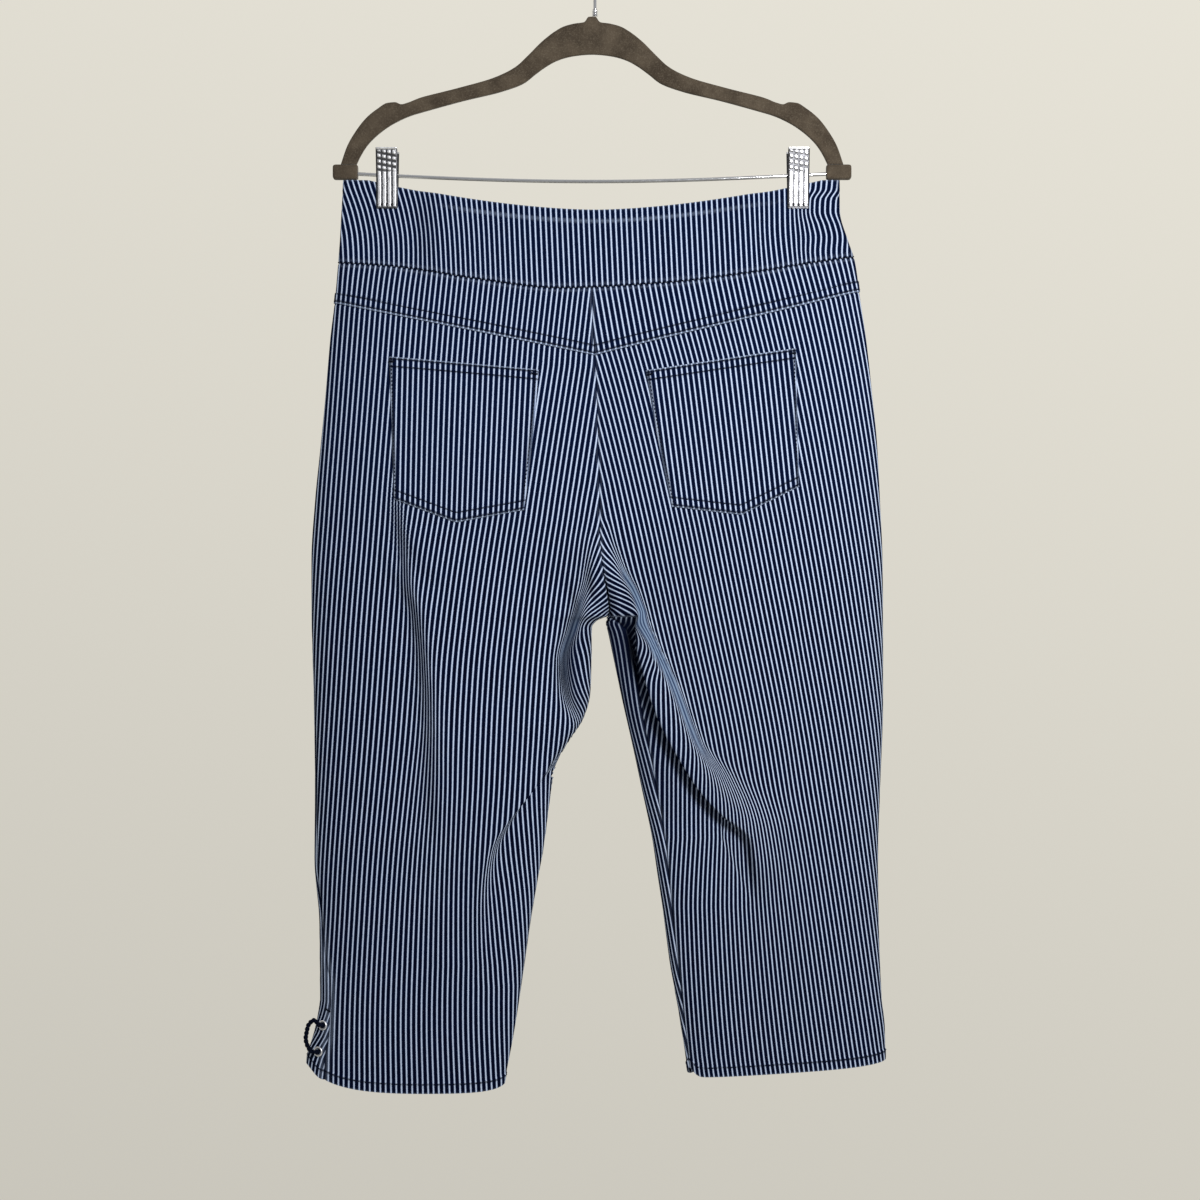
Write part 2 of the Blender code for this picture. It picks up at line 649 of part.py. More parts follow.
def row_list(side, face):
    """Heights of the rows on the side seam, closer together around the crotch."""
    top = HIP_ROWS[side, face]["side"][0] - SEAM_GAP / 2
    hem = LEG_ROWS[side]["side"][-1]
    above, below = CROTCH + sum(CROTCH_STEPS), CROTCH - sum(CROTCH_STEPS)
    upper = np.linspace(top, above, round((top - above) / UPPER_STEP) + 1)
    lower = np.linspace(below, hem, round((below - hem) / LOWER_STEP) + 1)
    down_to_crotch = above - np.cumsum(CROTCH_STEPS)
    down_from_crotch = CROTCH - np.cumsum(CROTCH_STEPS[::-1])
    return np.concatenate([upper, down_to_crotch, down_from_crotch[:-1], lower])


def back_columns(side, row):
    """u of a back panel's columns at a row, with some of them beside the leg's main fold."""
    plain = trimmed(OUTER_COLUMNS + len(GUIDE_OFFSETS) + INNER_COLUMNS, PANEL_WIDTH)
    fine = np.linspace(plain[0], plain[-1], 301)
    x, _y, z = panel_point(side, "back", fine, np.full_like(fine, row), 0.0).T
    outward = np.sign(HIPS[side][0])
    past_guide = np.maximum.accumulate(outward * (read(GUIDES[side], "z", "x", z) - x))
    beside = np.interp([-offset for offset in GUIDE_OFFSETS], past_guide, fine)
    guided = np.concatenate([
        np.linspace(plain[0], beside[0], OUTER_COLUMNS + 1)[:-1],
        beside,
        np.linspace(beside[-1], plain[-1], INNER_COLUMNS + 1)[1:],
    ])
    return mix(plain, guided, ramp(-row, -GUIDES_FROM, -GUIDES_TO))


def leg_panel(side, face, finish):
    rows = row_list(side, face)
    if face == "back":
        u = np.array([back_columns(side, row) for row in rows])
    else:
        u = np.tile(trimmed(FRONT_COLUMNS, PANEL_WIDTH), (len(rows), 1))
    row = np.repeat(rows[:, None], u.shape[1], axis=1)
    return sheet_solid(f"leg_{face}_{side}", panel_point(side, face, u, row, 0.0),
                       panel_point(side, face, u, row, CLOTH), finish)


def waistband(face, finish):
    u, v = np.meshgrid(trimmed(31, 2 * PANEL_WIDTH), np.linspace(0.0, 1.0, 5))
    return sheet_solid(f"waistband_{face}", band_point(face, u, v, 0.0),
                       band_point(face, u, v, CLOTH), finish)


def yoke(side, finish):
    u, v = np.meshgrid(trimmed(YOKE_COLUMNS, PANEL_WIDTH), np.linspace(0.0, 1.0, 4))
    return sheet_solid(f"yoke_back_{side}", yoke_point(side, u, v, 0.0),
                       yoke_point(side, u, v, CLOTH), finish)


def surface_at(side, face, x, z):
    """Point and outward normal of a leg panel at x and z, found by Newton's steps."""
    u = np.full_like(x, 0.5)
    row = np.array(z, dtype=float)
    d_u, d_row = 1e-3, 0.1
    for _ in range(12):
        here = panel_point(side, face, u, row, 0.0)
        along = (panel_point(side, face, u + d_u, row, 0.0) - here) / d_u
        down = (panel_point(side, face, u, row + d_row, 0.0) - here) / d_row
        miss_x, miss_z = x - here[..., 0], z - here[..., 2]
        det = along[..., 0] * down[..., 2] - along[..., 2] * down[..., 0]
        u = np.clip(u + (miss_x * down[..., 2] - miss_z * down[..., 0]) / det, 0.02, 0.98)
        row = row + (along[..., 0] * miss_z - along[..., 2] * miss_x) / det
    normal = np.cross(along, down)
    normal /= np.linalg.norm(normal, axis=-1, keepdims=True)
    return here, normal * np.sign(normal[..., 1:2]) * FACING[face]


# Corners of the two patch pockets, from their upper outer corner round to the point.
Pocket = namedtuple("Pocket", "outer_top inner_top inner_low point outer_low bow")
POCKETS = {
    "left": Pocket((-174.9, -382.0), (-48.4, -393.5), (-60.4, -513.0), (-117.6, -523.5),
                   (-170.2, -503.8), 1.0),
    "right": Pocket((170.8, -375.0), (43.6, -394.2), (65.6, -510.1), (124.2, -517.0),
                    (173.0, -493.0), 1.0),
}


def pocket_outline(side, p, q):
    """x and z of a pocket: p from the outer side to the inner one, q from the top down."""
    pocket = POCKETS[side]
    sides_bow = pocket.bow * 4.0 * q * (1.0 - q)
    outer_x = mix(pocket.outer_top[0], pocket.outer_low[0], q)
    inner_x = mix(pocket.inner_top[0], pocket.inner_low[0], q)
    inward = np.sign(pocket.inner_top[0] - pocket.outer_top[0])
    x = mix(outer_x, inner_x + inward * sides_bow, p)
    top = mix(pocket.outer_top[1], pocket.inner_top[1], p)
    point_share = (pocket.point[0] - pocket.outer_low[0]) / (pocket.inner_low[0] - pocket.outer_low[0])
    low = np.interp(p, (0.0, point_share, 1.0),
                    (pocket.outer_low[1], pocket.point[1], pocket.inner_low[1]))
    return x, mix(top, low, q)


def pocket(side, finish):
    p, q = np.meshgrid(np.linspace(0.0, 1.0, 9), np.linspace(0.0, 1.0, 8))
    x, z = pocket_outline(side, p, q)
    on_panel, normal = surface_at(side, "back", x, z)
    return sheet_solid(f"pocket_{side}", on_panel + normal * (POCKET_LIFT + POCKET_CLOTH),
                       on_panel + normal * POCKET_LIFT, finish)


# Eyelets stand beside the vent in the side seam, and a lace joins an upper to a lower one.
EYELET_HOLE = 2.4
EYELET_RIM = 4.3
EYELET_THICKNESS = 1.0
EYELET_HEIGHTS = {"upper": -953.4, "lower": -976.2}
EYELET_INSET = 6.0       # from the panel's edge to an eyelet's middle
EYELET_LIFT = 0.6
LACE_RADIUS = 2.0

# The lace's course: how far down it is as a share of the way between the eyelets, how far it
# stands off the cloth and how far it swings out sideways.
LACE_COURSE = table(
    "step share   off  swing",
    (0,    0.00,  1.0,  0.0),
    (1,   -0.02,  4.2,  0.6),
    (2,   -0.22,  5.4,  5.8),
    (3,    0.04,  5.0, 10.3),
    (4,    0.41,  5.0, 10.5),
    (5,    0.78,  5.0,  7.4),
    (6,    0.96,  5.2,  3.4),
    (7,    1.00,  4.2,  0.6),
    (8,    1.00,  1.0,  0.0),
)


def vent_places(side):
    """Each eyelet beside a leg's vent: its point on the front panel and the outward normal."""
    places = {}
    for name, height in EYELET_HEIGHTS.items():
        u = np.array([0.0, 0.005, 0.01, 0.015, 0.02, 0.03, 0.04, 0.05, 0.06, 0.08, 0.1])
        line = panel_point(side, "front", u, np.full_like(u, height), 0.0)
        run = np.concatenate([[0.0], np.cumsum(np.linalg.norm(np.diff(line, axis=0), axis=1))])
        place = np.interp(EYELET_INSET, run, u)
        around = np.array([place, place - 0.01, place, place])
        rows = height + np.array([0.0, 0.0, -2.0, 0.0])
        inset = (0.0, 0.0, 0.0, CLOTH)
        here, edgeward, below, within = (
            panel_point(side, "front", around[k:k + 1], rows[k:k + 1], inset[k])[0] for k in range(4))
        normal = np.cross(edgeward - here, below - here)
        normal *= np.sign(normal @ (here - within)) / np.linalg.norm(normal)
        places[name] = (here, normal)
    return places


def lace_route(side, places, stations):
    """Points along the lace that comes out of the upper eyelet and goes into the lower one."""
    (upper, upper_out), (lower, lower_out) = places["upper"], places["lower"]
    step = np.linspace(0.0, LACE_COURSE["step"][-1], stations)
    share, off, swing = (read(LACE_COURSE, "step", column, step)[:, None]
                         for column in ("share", "off", "swing"))
    sideways = np.array([np.sign(HIPS[side][0]), 0.0, 0.0])
    outward = mix(upper_out, lower_out, np.clip(share, 0.0, 1.0))
    return mix(upper, lower, share) + outward * off + sideways * swing


# ---------------------------------------------------------------- the hanger

def bar_ring(top, low):
    """Eight points round the arch's flat section between its top and its bottom edge."""
    half, tall = HANGER_THICKNESS / 2, math.dist(top, low)
    corner = min(HANGER_CORNER, 0.3 * tall)
    flat = half - corner
    outline = ((-half, corner), (-half, tall - corner), (-flat, tall), (flat, tall),
               (half, tall - corner), (half, corner), (flat, 0.0), (-flat, 0.0))
    return [(mix(top[0], low[0], down / tall), depth, mix(top[1], low[1], down / tall))
            for depth, down in outline]


def hanger_arch(finish):
    """The flocked arch, from one end cap over the neck to the other."""
    half = list(zip(*(HANGER_ARCH[c] for c in ("top_x", "top_z", "low_x", "low_z"))))
    rings = []
    for mirror, stations in ((-1, half[:0:-1]), (1, half)):
        for top_x, top_z, low_x, low_z in stations:
            rings.append(bar_ring((HANGER_MIDDLE + mirror * top_x, top_z),
                                  (HANGER_MIDDLE + mirror * low_x, low_z)))
    return loft("hanger_arch", rings, finish)


def squared(value):
    """Bends a circle's cosine or sine towards a square with round corners."""
    return math.copysign(abs(value) ** CAP_SQUARENESS, value)


def end_cap(side, finish):
    """The rounded block at an end of the arch that holds the bar."""
    outward = -1 if side == "left" else 1
    middle_z, half_z = (CAP_TOP + CAP_BOTTOM) / 2, (CAP_TOP - CAP_BOTTOM) / 2
    turns = (np.arange(12) + 0.5) * math.pi / 6
    rings = []
    for share, shrink in CAP_ROUNDING:
        x = HANGER_MIDDLE + outward * mix(CAP_INNER, CAP_OUTER, share)
        rings.append([(x, CAP_THICKNESS / 2 * shrink * squared(math.cos(turn)),
                       middle_z + half_z * shrink * squared(math.sin(turn))) for turn in turns])
    return loft(f"hanger_cap_{side}", rings, finish)


def bar_height(x):
    """Height of the bar's middle, which the clips' load bends down."""
    return BAR_END_Z - BAR_SAG * math.cos(math.pi * (x - HANGER_MIDDLE) / (2 * BAR_HALF))


def trouser_bar(finish):
    """The chrome bar between the caps."""
    stations = HANGER_MIDDLE + np.linspace(-BAR_HALF, BAR_HALF, 17)
    return rod("trouser_bar", [(x, 0.0, bar_height(x)) for x in stations], BAR_RADIUS, finish)


def hook(finish):
    """A round hook whose inside top is the origin, on a straight shaft into the neck."""
    radius = HOOK_INNER + HOOK_WIRE
    turns = np.radians(np.linspace(HOOK_TIP, HOOK_SHOULDER, 19))
    route = [(radius * math.cos(t), 0.0, radius * math.sin(t) - HOOK_INNER) for t in turns]
    start = np.array([route[-1][0], route[-1][2]])
    heading = np.array([math.sin(turns[-1]), -math.cos(turns[-1])])
    neck = np.array([0.0, start[1] - 14.0])
    for t in np.linspace(0.0, 1.0, 8)[1:]:
        bends = (start, start + heading * 7.0, neck + (0.0, 7.0), neck)
        weights = ((1 - t) ** 3, 3 * t * (1 - t) ** 2, 3 * t * t * (1 - t), t ** 3)
        x, z = sum(w * b for w, b in zip(weights, bends))
        route.append((x, 0.0, z))
    route.append((0.0, 0.0, -70.0))
    route.append((0.0, 0.0, SHAFT_FOOT))
    return rod("hanger_hook", route, HOOK_WIRE, finish, resolution=3)


def tube_along(name, centre, axis, inner, outer, length, sides, finish):
    """A plain tube with flat ends."""
    axis = Vector(axis).normalized()
    first = axis.orthogonal().normalized()
    second = axis.cross(first)
    profile = ((inner, -length / 2), (outer, -length / 2), (outer, length / 2), (inner, length / 2))
    points, faces = [], []
    for k in range(sides):
        turn = 2 * math.pi * k / sides
        spoke = first * math.cos(turn) + second * math.sin(turn)
        points += [Vector(centre) + spoke * radius + axis * along for radius, along in profile]
        for j in range(4):
            nxt, up = (k + 1) % sides, (j + 1) % 4
            faces.append((k * 4 + j, k * 4 + up, nxt * 4 + up, nxt * 4 + j))
    return add_object(name, points, faces, finish)


def clip_jaw(side, face, finish):
    """One jaw of a clip: a plate with upright ribs on its outer face."""
    section = [(-CLIP_WIDTH / 2, 0.0), (CLIP_WIDTH / 2, 0.0), (CLIP_WIDTH / 2, JAW_SHEET)]
    for rib in reversed(range(JAW_RIBS)):
        middle = (rib - (JAW_RIBS - 1) / 2) * CLIP_WIDTH / (JAW_RIBS + 0.1)
        section += [(middle + RIB_FOOT, JAW_SHEET), (middle + RIB_CREST, JAW_SHEET + RIB_HEIGHT),
                    (middle - RIB_CREST, JAW_SHEET + RIB_HEIGHT), (middle - RIB_FOOT, JAW_SHEET)]
    section.append((-CLIP_WIDTH / 2, JAW_SHEET))
    rings = [[(CLIP_X[side] + x, FACING[face] * (off + y), z) for x, y in section]
             for z, off in zip(JAW["z"], JAW["off"])]
    return loft(f"clip_{side}_{face}", rings, finish)


def clip_spring(side, finish):
    z = bar_height(CLIP_X[side])
    return tube_along(f"clip_spring_{side}", (CLIP_X[side], 0.0, z), (1, 0, 0),
                      SPRING_INNER, SPRING_OUTER, SPRING_LENGTH, 16, finish)


def eyelet(side, name, place, finish):
    here, normal = place
    points, faces = ring_around(here + normal * EYELET_LIFT, normal, EYELET_HOLE, EYELET_RIM,
                                EYELET_THICKNESS, 12)
    return add_object(f"eyelet_{name}_{side}", points, faces, finish)


def lace(side, places, finish):
    route = lace_route(side, places, 25)
    return rod(f"vent_lace_{side}", route, LACE_RADIUS, finish, resolution=1)


def main():
    for old in list(bpy.data.objects):
        bpy.data.objects.remove(old, do_unlink=True)
    denim = material("striped_stretch_denim", (0.06, 0.09, 0.19), 0.85)

    for face in ("back", "front"):
        waistband(face, denim)
    for side in ("left", "right"):
        yoke(side, denim)
        for face in ("back", "front"):
            leg_panel(side, face, denim)
        pocket(side, denim)

    silver = material("eyelet_metal", (0.75, 0.75, 0.77), 0.3, 1.0)
    dark_lace = material("navy_lace", (0.01, 0.012, 0.03), 0.8)
    for side in ("left", "right"):
        places = vent_places(side)
        for name, place in places.items():
            eyelet(side, name, place, silver)
        lace(side, places, dark_lace)

    flock = material("taupe_flock", (0.085, 0.068, 0.052), 0.95)
    chrome = material("chrome", (0.82, 0.82, 0.83), 0.12, 1.0)
    hanger_arch(flock)
    hook(chrome)
    tube_along("hook_collar", (0.0, 0.0, (COLLAR_TOP + COLLAR_BOTTOM) / 2), (0, 0, 1),
               COLLAR_INNER, COLLAR_OUTER, COLLAR_TOP - COLLAR_BOTTOM, 16, chrome)
    trouser_bar(chrome)
    for side in ("left", "right"):
        end_cap(side, flock)
        clip_spring(side, chrome)
        for face in ("back", "front"):
            clip_jaw(side, face, chrome)


main()
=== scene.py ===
"""Looks of the striped capri pants and the clip hanger that they hang from.

Metres, +Z up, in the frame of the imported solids: the origin is the inside top of the hook,
and the back of the pants faces -Y. The tables are in millimetres. Each cloth panel is a grid
of points on the same surface as its solid, with more columns and rows, thinner cloth, folds
that really overlap, seams, and stripes laid out along the cloth.
"""

from collections import namedtuple
import math

import bmesh
import bpy
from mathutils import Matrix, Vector
import numpy as np


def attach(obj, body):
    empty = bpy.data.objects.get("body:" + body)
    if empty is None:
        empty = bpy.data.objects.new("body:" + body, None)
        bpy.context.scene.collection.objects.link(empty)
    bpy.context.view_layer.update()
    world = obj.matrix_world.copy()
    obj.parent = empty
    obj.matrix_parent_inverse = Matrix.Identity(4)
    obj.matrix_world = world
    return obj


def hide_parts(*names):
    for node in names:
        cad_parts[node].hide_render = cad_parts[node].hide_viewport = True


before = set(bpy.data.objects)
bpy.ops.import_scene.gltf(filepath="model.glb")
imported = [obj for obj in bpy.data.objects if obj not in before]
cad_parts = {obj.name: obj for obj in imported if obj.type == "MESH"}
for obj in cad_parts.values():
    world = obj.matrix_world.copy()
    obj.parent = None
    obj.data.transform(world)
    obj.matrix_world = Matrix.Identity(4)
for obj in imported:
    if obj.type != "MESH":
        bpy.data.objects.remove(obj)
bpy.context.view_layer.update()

MM = 0.001
SEAM_GAP = 0.3
CLOTH = 1.0              # thickness of the cloth
GRIPPED_GAP = 0.6        # between the front and back cloth in a clip
POCKET_CLOTH = 1.0
POCKET_LIFT = 0.7        # from a panel to the pocket that lies on it
SMOOTH_ANGLE = math.radians(50.0)

OTHER = {"left": "right", "right": "left"}
OUTWARD = {"left": -1.0, "right": 1.0}   # along x
FACING = {"back": -1.0, "front": 1.0}    # along y


# ---------------------------------------------------------------- tables and curves

def table(columns, *rows):
    """One array for each named column."""
    return dict(zip(columns.split(), np.array(rows, dtype=float).T))


def read(rows, column, at, key="z"):
    """A column's value where another one, its key, has the value at: a smooth curve through
    the table's points that never overshoots them."""
    xs, ys = rows[key], rows[column]
    if xs[0] > xs[-1]:
        xs, ys = xs[::-1], ys[::-1]
    run = np.diff(xs)
    slope = np.diff(ys) / run
    tangent = np.zeros_like(ys)
    tangent[0], tangent[-1] = slope[0], slope[-1]
    turns = slope[:-1] * slope[1:] <= 0.0
    safe = np.where(turns, 1.0, slope[:-1] + slope[1:])
    tangent[1:-1] = np.where(turns, 0.0, 2.0 * slope[:-1] * slope[1:] / safe)
    at = np.clip(at, xs[0], xs[-1])
    i = np.clip(np.searchsorted(xs, at, side="right") - 1, 0, len(run) - 1)
    t = (at - xs[i]) / run[i]
    return ((1 + 2 * t) * (1 - t) ** 2 * ys[i] + t * (1 - t) ** 2 * run[i] * tangent[i]
            + t * t * (3 - 2 * t) * ys[i + 1] - t * t * (1 - t) * run[i] * tangent[i + 1])


def ramp(value, low, high):
    """0 up to low, 1 from high on, smooth between."""
    t = np.clip((value - low) / (high - low), 0.0, 1.0)
    return t * t * (3.0 - 2.0 * t)


def mix(a, b, share):
    return a + (b - a) * share


def unit(vectors):
    return vectors / np.maximum(np.linalg.norm(vectors, axis=-1, keepdims=True), 1e-9)


def run_along(points, axis=0):
    """Distance along a line of points, or along each line of a grid of them."""
    steps = np.linalg.norm(np.diff(points, axis=axis), axis=-1)
    return np.insert(np.cumsum(steps, axis=axis), 0, 0.0, axis=axis)


# ---------------------------------------------------------------- the garment's sizes

# Waist and hips: the two side edges, how far the cloth stands from the middle plane at the
# back and the front, and where the centre back and centre front seams run.
HIPS = table("z left right back front centre_back centre_front",
    (-228,  -216.7, 210.5, 7,    7,    -3,   -2),
    (-255,  -218.4, 211,   9,    9,    -3,   -2),
    (-280,  -219.8, 218,   11.5, 11,   -3,   -2),
    (-298,  -221.2, 224,   13,   12,   -2.7, -2),
    (-331,  -224,   228.5, 15.5, 13.5, -2.4, -1.5),
    (-365,  -228,   233.5, 17.5, 15,   -1.2, -1),
    (-417,  -232.4, 239.1, 20,   17,   1.7,  0),
    (-455,  -236,   242.8, 22,   18,   2.8,  2),
    (-505,  -241,   245.3, 24,   19,   4.6,  4),
    (-555,  -244,   247.4, 25,   20,   9,    6),
    (-603,  -243.8, 247.7, 25,   20,   15,   8),
    (-675,  -241.8, 247.7, 24,   20,   15,   8),
    (-750,  -240.8, 245.2, 22.5, 19,   15,   8),
    (-812,  -241.2, 243.4, 21,   18,   15,   8),
    (-864,  -237.2, 244,   19.5, 17,   15,   8),
    (-930,  -236.6, 246.5, 18,   16,   15,   8),
    (-956,  -240.6, 249.2, 17.3, 15.6, 15,   8),
    (-980,  -247.2, 249.6, 16.7, 15.3, 15,   8),
    (-1010, -249,   246.5, 16,   15,   15,   8))

# Inside of each leg: its inner edge, and how far the inseam lies from that edge. The inseam
# is on the back of the leg where that is positive and on the front where it is negative.
# side_seam is the same at the outer edge, and vent how far the vent gapes there.
LEGS = {
    "left": table("z inner inseam side_seam vent",
        (-603, 10, 0, 0, 0), (-607, 1, -4, 0, 0), (-613, -2.6, -10, 0, 0),
        (-645, -2.8, -16, 0.5, 0), (-672, -4.2, -16, 1, 0), (-692, -10.3, -15, 1, 0),
        (-709, -21, -14, 1.5, 0), (-727, -31.6, -13, 1.5, 0), (-744, -36.2, -13, 2, 0),
        (-761, -38.7, -13, 2, 0), (-795, -43, -12, 2.5, 0), (-864, -55, -11, 3.5, 0),
        (-890, -58.8, -10.7, 5.5, 0), (-915, -62.5, -10.4, 10, 0), (-942, -66.5, -10, 11.5, 0),
        (-967, -70.5, -9, 15.5, 0.4), (-1010, -79, -8, 18.5, 0.7)),
    "right": table("z inner inseam side_seam vent",
        (-603, 10, 0, 0, 0), (-608, 9, 10, 0, 0), (-616, 10.8, 16, 0, 0),
        (-645, 16.6, 16.5, -0.5, 0), (-675, 23.2, 15, -1, 0), (-713, 32, 13.6, -1.5, 0),
        (-753, 40.4, 12.5, -2, 0), (-793, 48.6, 11, -2.5, 0), (-852, 57.5, 8, -6, 0),
        (-904, 64.7, 6.5, -11, 0), (-942, 71.5, 4, -16, 0), (-967, 75.5, 3, -19, 0.4),
        (-1000, 80.5, 2, -21, 0.7)),
}

# Rows of a leg panel above the crotch: the height on the side seam, the height on the
# centre seam, and how late the row drops between them (power).
CROTCH = -603.0
LEG_STARTS = -500.0      # here the hip tube starts to turn into the two leg tubes
LEG_LATENESS = 1.5       # over 1, most of that turn happens close to the crotch
FRONT_ROWS = (           # the same on both front panels
    (-380, -402, 1.6), (-480, -498, 2.4), (-548, -563, 4), (-588, -594, 5), (CROTCH, CROTCH, 5))
HIP_ROWS = {
    ("left", "back"): table("side inner power",
        (-334.5, -381, 1.5), (-380, -419, 1.5), (-430, -462, 1.6), (-480, -507, 2.4),
        (-520, -545, 3.2), (-548, -571, 4), (-570, -588, 4.6), (-588, -598.5, 5),
        (CROTCH, CROTCH, 5)),
    ("right", "back"): table("side inner power",
        (-324.5, -381, 1.5), (-380, -422, 1.5), (-430, -464, 1.6), (-480, -508, 2.4),
        (-520, -546, 3.2), (-548, -572, 4), (-570, -588.5, 4.6), (-588, -598.5, 5),
        (CROTCH, CROTCH, 5)),
    ("left", "front"): table("side inner power", (-301, -330, 1.6), *FRONT_ROWS),
    ("right", "front"): table("side inner power", (-295.5, -330, 1.6), *FRONT_ROWS),
}

# Rows below the crotch, down to the hem: the height on the side seam and on the inseam,
# how far the row bows down in the middle of the back and of the front, how much higher the
# front lies away from the side seam, and how far the corners curl up at the side seam and
# at the inseam.
LEG_ROWS = {
    "left": table("side inner bow_back bow_front lift_front curl_side curl_inner",
        (CROTCH, CROTCH, 0,    0, 0,    0, 0),
        (-700,   -700,   0,    0, 0,    0, 0),
        (-900,   -904,   0.5,  0, 0,    0, 0),
        (-965,   -967,   5,    0, 4,    0, 1.5),
        (-998.6, -998,   11.3, 0, 12.4, 0, 5)),
    "right": table("side inner bow_back bow_front lift_front curl_side curl_inner",
        (CROTCH, CROTCH, 0,   0,   0, 0, 0),
        (-700,   -700,   0,   0,   0, 0, 0),
        (-900,   -904,   0,   0,   0, 0, 0),
        (-979,   -998,   1.5, 1.5, 0, 6, 8)),
}
CURL_REACH = 0.045       # share of a panel's width over which a corner curls up
LIFT_REACH = 0.09        # and over which the front rises from the side seam

# The seam under the waistband; the front one hangs FRONT_DROP lower in the middle.
WAIST_SEAM = table("x z",
    (-240, -298.5), (-175, -303), (-105, -314.5), (-30, -323), (60, -318.5), (129, -310),
    (176, -301.5), (240, -292))
FRONT_DROP = 7.0
SEAM_BLEND = 120.0       # how far down the front panels' rows keep that seam's shape
WAIST_TOP = -228.3       # top edge beside the clips
WAIST_SAG = 27.0         # how far that edge hangs lower at the middle
SAG_HALF_SPAN = 195.0
SAG_POWER = 1.7

HIP_FLATNESS = 4.0       # how square a flattened tube is: 2 is an ellipse
LEG_FLATNESS = 3.0
EDGE_CROWDING = 0.72     # share of the grid's columns drawn towards the rounded edges
CROTCH_BACKSET = 7.0     # the crotch point lies this far in front of the middle plane
BACKSET_FADE = (-700.0, -600.0)   # heights between which the inner seams come to that

CLIP_X = {"left": -178.5, "right": 174.6}
GRIP_HALF = 20.0         # the layers lie flat together this far from a clip's middle
GRIP_FADE = 26.0         # and are drawn together this much further
GRIP_TOP, GRIP_BOTTOM = -262.0, -335.0

# Main folds, as lines down the cloth. rise is how much farther out the cloth is on the +X
# side of the line, soft the half width of the step, share how much of the rise goes to the
# +X side, reach how far it takes to die away, start over what length it begins. ridge adds a
# crest, or a trough where it is negative, as wide as soft. tuck is how far the cloth on both
# sides of the line is drawn over each other.
Fold = namedtuple("Fold", "rise ridge soft share reach start line tuck", defaults=(0.0,))
BACK_FOLDS = (
    # below the left pocket, down the thigh
    Fold(8.0, 0.0, 6.0, 0.6, 60.0, 60.0,
         ((-174, -490), (-160, -566), (-148, -630), (-139, -740), (-136, -800))),
    # the gusset's left flank, from the centre back down to the inside of the left leg
    Fold(13.0, 0.0, 5.0, 0.55, 25.0, 40.0,
         ((-1, -540), (-6, -570), (-11, -588), (-23, -625), (-28, -648), (-25, -666),
          (-6, -705))),
    # overlap across the inside of the left leg
    Fold(-10.0, 0.0, 3.0, 0.45, 30.0, 25.0,
         ((-2, -680), (-20, -710), (-33, -726), (-52, -750), (-74, -781), (-86, -804),
          (-92, -845)), 3.5),
    Fold(-4.5, 0.0, 5.0, 0.5, 30.0, 40.0,
         ((-46, -760), (-57, -784), (-72, -815), (-86, -843), (-110, -893))),
    # overlap from the crotch down across the right leg
    Fold(18.0, 0.0, 3.0, 0.40, 32.0, 14.0,
         ((35, -598), (37, -630), (43, -654), (51, -680), (61, -703), (73, -724), (86, -745),
          (105, -769), (129, -793), (136, -850)), 5.0),
    # the gusset's right flank, which runs on beside that overlap
    Fold(-9.0, 0.0, 4.5, 0.5, 26.0, 30.0,
         ((10, -530), (19, -556), (28, -578), (37, -596), (45, -610), (53, -628), (63, -654),
          (73, -677), (82, -699), (95, -724), (118, -752), (140, -782))),
    # down the outside of the right leg
    Fold(-7.0, 0.0, 5.0, 0.5, 50.0, 50.0,
         ((176, -560), (173, -640), (169, -690), (164, -751), (157, -850))),
    Fold(3.5, 0.0, 9.0, 0.5, 40.0, 50.0, ((206, -600), (210, -700), (208, -880))),
    # beside the clips
    Fold(0.0, 2.2, 7.0, 0.5, 30.0, 20.0, ((206, -225), (203, -250), (212, -290))),
    Fold(0.0, -2.0, 8.0, 0.5, 30.0, 20.0, ((-207, -235), (-205, -268), (-208, -300))),
)
FRONT_FOLDS = (
    Fold(-4.0, 0.0, 7.0, 0.5, 50.0, 45.0, ((-120, -600), (-130, -700), (-138, -820))),
    Fold(0.0, -5.0, 9.0, 0.5, 30.0, 45.0, ((-20, -560), (-38, -640), (-70, -720))),
    Fold(0.0, -5.0, 9.0, 0.5, 30.0, 45.0, ((22, -570), (48, -650), (84, -730))),
    Fold(4.0, 0.0, 7.0, 0.5, 50.0, 45.0, ((128, -590), (138, -690), (150, -830))),
)
FOLDS = {"back": BACK_FOLDS, "front": FRONT_FOLDS}
FOLD_FADE = 45.0         # length over which a fold dies out at its lower end
EDGE_FADE = 9.0          # folds die out where the tube is shallower than this

# Half of the hanger's arch from the neck outwards: its top and bottom edge, x from the
# middle of the hanger.
HANGER_MIDDLE = -2.5
HANGER_ARCH = table("top_x top_z low_x low_z",
    (0, -87.6, 0, -120), (3, -87.8, 3.2, -120.1), (7, -92.4, 8, -120.4), (15, -93.6, 16, -121.4),
    (24, -96, 24, -123.2), (32, -100.4, 31.5, -126), (43, -109, 39.5, -130.5),
    (55, -121, 48.5, -137), (66, -131, 59, -145), (84, -140, 78, -152), (115, -149, 111, -160),
    (148, -157.5, 143, -168.8), (158, -161.5, 154, -172), (164, -163, 160.5, -174.5),
    (169.5, -161.2, 167, -177.6), (176, -161.8, 172.5, -180.6), (185, -167.2, 179, -185),
    (194, -174.6, 185.5, -190.2), (203, -186, 193, -198), (210.5, -199, 198.8, -207),
    (216, -214.7, 202.5, -214.7))
HANGER_THICKNESS, ARCH_SQUARENESS = 5.4, 0.42
CAP_INNER, CAP_OUTER = 201.5, 222.6   # each end cap, from the middle of the hanger
CAP_TOP, CAP_BOTTOM = -215.0, -227.6
CAP_THICKNESS, CAP_SQUARENESS = 9.0, 0.45
